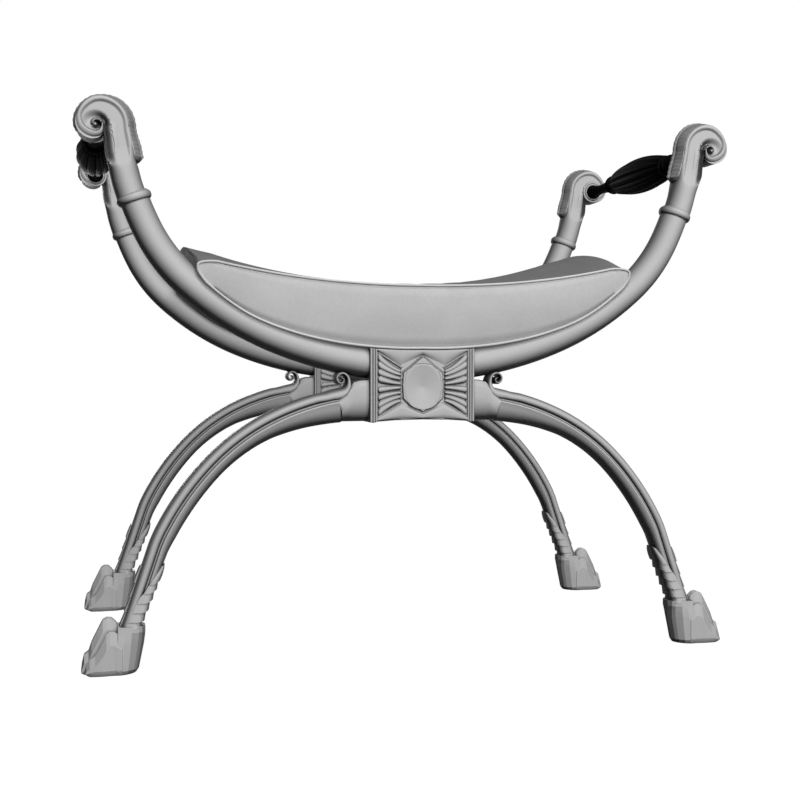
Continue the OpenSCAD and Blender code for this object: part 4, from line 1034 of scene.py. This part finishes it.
def face_edges(x):
    """Heights of the lower and upper seams of the front face"""
    under, top = seat_under_z(x), seat_top_z(x)
    middle, half = (under + top) / 2, (top - under) / 2 * nose_share(x) + WELT_D / 2
    return np.maximum(middle - half, under + 0.4 * WELT_D), middle + half


def seat_crown(x):
    """Height of the crest above the upper seam"""
    s = np.abs(x) / SEAT_HALF
    return CROWN + (END_CROWN - CROWN) * s * s + (seat_top_z(x) - seat_under_z(x)) / 2 * (1 - nose_share(x))


def cushion_section(x):
    """Rear half of the cushion's section, from the middle of its underside to its crest"""
    a = radians(arm_slope_at(x))
    under = seat_under_z(x)
    low, high = face_edges(x)
    axis_z = arm_z_at(x)
    groove = arm_r(degrees(a)) + 0.7
    reach = groove / cos(a)
    start = asin(min(0.98, (low - axis_z) / reach))
    face_h = high - low
    edge = min(2.6, face_h / 3)
    swell_y = 1.5 * min(1.0, face_h / 60)
    crown = seat_crown(x)
    points = [(y, under) for y in steps(0, BOARD_HALF_Y + 0.6, 12)]
    points += [(FRAME_Y + groove * cos(t), axis_z + reach * sin(t)) for t in steps(pi - start, start, 9)]
    points += [(SEAT_Y - edge, low), (SEAT_Y - SEAM_DEPTH, low + edge * 0.8)]
    points += [(SEAT_Y - 0.7 + swell_y * sin(pi * s), low + face_h * s) for s in steps(0.08, 0.92, 9)]
    points.append((SEAT_Y - SEAM_DEPTH, high - edge * 0.8))
    for across in np.cos(steps(0, pi / 2, 22)):
        points.append(((SEAT_Y - edge) * across, high + crown * (1 - across ** 2)))
    return points


def cushion_shell():
    marks = np.concatenate([steps(0, 0.88, 44), steps(0.89, 0.999, 14)])
    rings = []
    for x in np.concatenate([-marks[::-1], marks[1:]]) * SEAT_HALF:
        half = cushion_section(x)
        rings.append([(x, y, z) for y, z in half] + [(x, -y, z) for y, z in half[-2:0:-1]])
    rings = np.array(rings)
    # the ends swell outwards between front and rear
    share = np.abs(rings[:, :, 0]) / SEAT_HALF
    bulge = 5.0 * ease((share - 0.9) / 0.1) * np.clip(1 - (rings[:, :, 1] / 175) ** 4, 0, 1)
    rings[:, :, 0] += np.sign(rings[:, :, 0]) * bulge
    return loft(rings)


def welt_shell():
    """Piping round a face of the seat"""
    marks = np.concatenate([steps(0, 0.9, 60), 0.9 + 0.1 * np.sin(steps(0.08, np.pi / 2, 16))])
    xs = np.concatenate([-marks[::-1], marks[1:]]) * SEAT_HALF
    low, high = face_edges(xs)
    loop = np.concatenate([columns(xs, high), columns(xs, low)[::-1][1:-1]])
    way = np.roll(loop, -1, axis=0) - np.roll(loop, 1, axis=0)
    way /= np.linalg.norm(way, axis=1)[:, None]
    section = [(SEAT_Y + WELT_D / 2 * sin(t), WELT_D / 2 * cos(t)) for t in around(12)]
    return loft([ring_at(at, (-way_z, way_x), section) for at, (way_x, way_z) in zip(loop, way)], closed=True)


def stuff(pad):
    """Swell a cushion with a cloth simulation; its underside, its grooves over the arms and its seams stay put"""
    rest = places_of(pad.data)
    low, high = (np.array(v) * MM for v in face_edges(rest[:, 0] / MM))
    top = ease((rest[:, 2] - high) / (4 * MM)) * ease((SEAT_Y * MM - np.abs(rest[:, 1])) / (25 * MM))
    on_face = np.abs(rest[:, 1]) > (SEAT_Y - 1.5) * MM
    face = on_face * ease((rest[:, 2] - low) / (12 * MM)) * ease((high - rest[:, 2]) / (12 * MM))
    ends = ease((0.97 * SEAT_HALF * MM - np.abs(rest[:, 0])) / (20 * MM))
    free = np.maximum(top, 0.2 * face) * ends
    held = pad.vertex_groups.new(name="held")
    held.add([int(k) for k in np.flatnonzero(free < 0.02)], 1.0, "REPLACE")
    cloth = pad.modifiers.new("stuffing", "CLOTH")
    settings = cloth.settings
    settings.quality, settings.mass, settings.bending_stiffness = 5, 0.4, 5
    settings.tension_stiffness = settings.compression_stiffness = 40
    settings.use_pressure, settings.uniform_pressure_force = True, 4
    settings.vertex_group_mass = held.name
    settings.effector_weights.gravity = 0
    cloth.point_cache.frame_start, cloth.point_cache.frame_end = 1, STUFFING_FRAMES
    for step in range(1, STUFFING_FRAMES + 1):
        bpy.context.scene.frame_set(step)
    swollen = pad.evaluated_get(bpy.context.evaluated_depsgraph_get()).to_mesh()
    moved = (places_of(swollen) - rest) * free[:, None]
    length = np.linalg.norm(moved, axis=1)
    moved *= (np.minimum(length, STUFFING_CAP * MM) / np.maximum(length, 1e-9))[:, None]
    pad.modifiers.remove(cloth)
    pad.vertex_groups.remove(held)
    bpy.context.scene.frame_set(1)
    pad.data.vertices.foreach_set("co", (rest + moved).ravel())
    pad.data.update()


def build_seat():
    cushion = make("stuffed_seat", [cushion_shell()], "seat_cover", "seat", ["seat_cushion"], sharp=70)
    stuff(cushion)
    for row, end in (("front", -1), ("rear", 1)):
        make("piping_" + row, [welt_shell()], "piping", "seat", ["seat_welt_" + row], (1, end))
    xs = steps(-BOARD_SHARE, BOARD_SHARE, 41) * SEAT_HALF
    ys = steps(-BOARD_HALF_Y, BOARD_HALF_Y, 21)
    grid = np.array([[(x, y, seat_under_z(x) + 0.6) for x in xs] for y in ys])
    lining = make("lining", [sheet_of(grid)], "dust_cloth", "seat", ["seat_dust_cover"])


# Finishes on the CAD solids that stay

def dress_nodes():
    for finish, names in (("frame_grey", ("block_front", "block_rear", "stretcher")),
                          ("beech", ("seat_bearer_left", "seat_bearer_right", "bearer_dowels", "seat_board"))):
        for name in names:
            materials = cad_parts[name].data.materials
            materials.clear()
            materials.append(FINISHES[finish])


build_heads()
build_legs()
build_panels()
build_rails()
build_seat()
dress_nodes()


# Floor, light and camera

KEY_PLACE = (0.45, -3.2, 3.5)
AIM = (0, 0, 0.36)
CAMERA_PLACE, CAMERA_WAY = (-0.3882, -1.7153, 0.3615), (0.2342, 0.9718, -0.0270)   # solved from the photograph


def pick_by_ray(tree, for_light, for_eye, output):
    """One shader for diffuse light, the other for what the camera and reflections see"""
    rays = node(tree, "ShaderNodeLightPath").outputs
    seen = calculate(tree, "MAXIMUM", rays["Is Camera Ray"], rays["Is Glossy Ray"])
    seen = calculate(tree, "MAXIMUM", seen, rays["Is Transmission Ray"])
    pick = node(tree, "ShaderNodeMixShader", {0: seen, 1: for_light, 2: for_eye})
    node(tree, output, {"Surface": pick.outputs[0]})


def lit_white(name, level, diffuse):
    """White to the camera and in reflections, plain grey to diffuse light; keeps the shadows on it"""
    material = bpy.data.materials.new(name)
    tree = empty_tree(material)
    # the glow rises to full white away from the object, where little lamplight falls
    away = node(tree, "ShaderNodeVectorMath", {0: own_place(tree)}, operation="LENGTH").outputs["Value"]
    glow = node(tree, "ShaderNodeEmission", {"Color": grey(1.0), "Strength": remap(tree, away, 0.9, 2.6, level, 1.0)})
    matt = node(tree, "ShaderNodeBsdfDiffuse", {"Color": grey(diffuse)}).outputs[0]
    both = node(tree, "ShaderNodeAddShader", {0: glow.outputs[0], 1: matt}).outputs[0]
    pick_by_ray(tree, matt, both, "ShaderNodeOutputMaterial")
    return material


def build_stage():
    bpy.ops.mesh.primitive_plane_add(size=40, location=(0, 0, 0))
    floor = bpy.context.object
    floor.name = "floor"
    floor.data.materials.append(lit_white("Pale floor", 0.965, 0.05))


def aimed(name, data, at, way):
    """Lamp or camera at a place, looking along way"""
    holder = added(name, data)
    holder.location = at
    holder.rotation_euler = way.to_track_quat("-Z", "Y").to_euler()
    return holder


def build_light():
    world = bpy.data.worlds.new("Studio")
    bpy.context.scene.world = world
    tree = empty_tree(world)
    dim, bright = (node(tree, "ShaderNodeBackground", {"Color": grey(1.0), "Strength": strength}).outputs[0]
                   for strength in (0.012, 1.0))
    pick_by_ray(tree, dim, bright, "ShaderNodeOutputWorld")

    def lamp(name, at, size, power, shadow=True):
        data = bpy.data.lights.new(name, "AREA")
        data.shape, data.size, data.energy, data.use_shadow = "DISK", size, power, shadow
        aimed(name, data, at, Vector(AIM) - Vector(at))

    lamp("Key light", KEY_PLACE, 0.5, 200, shadow=False)
    lamp("Soft key light", KEY_PLACE, 1.4, 65)
    lamp("Top light", (0.3, 0.4, 3.0), 1.6, 2)
    lamp("Back light", (-0.5, 4.2, 0.9), 1.2, 70)


def build_camera():
    data = bpy.data.cameras.new("Camera")
    data.lens, data.sensor_width, data.sensor_fit = 56.65, 36.0, "HORIZONTAL"
    bpy.context.scene.camera = aimed("Camera", data, CAMERA_PLACE, Vector(CAMERA_WAY))


build_stage()
build_light()
build_camera()
bpy.context.scene.view_settings.view_transform = "Standard"
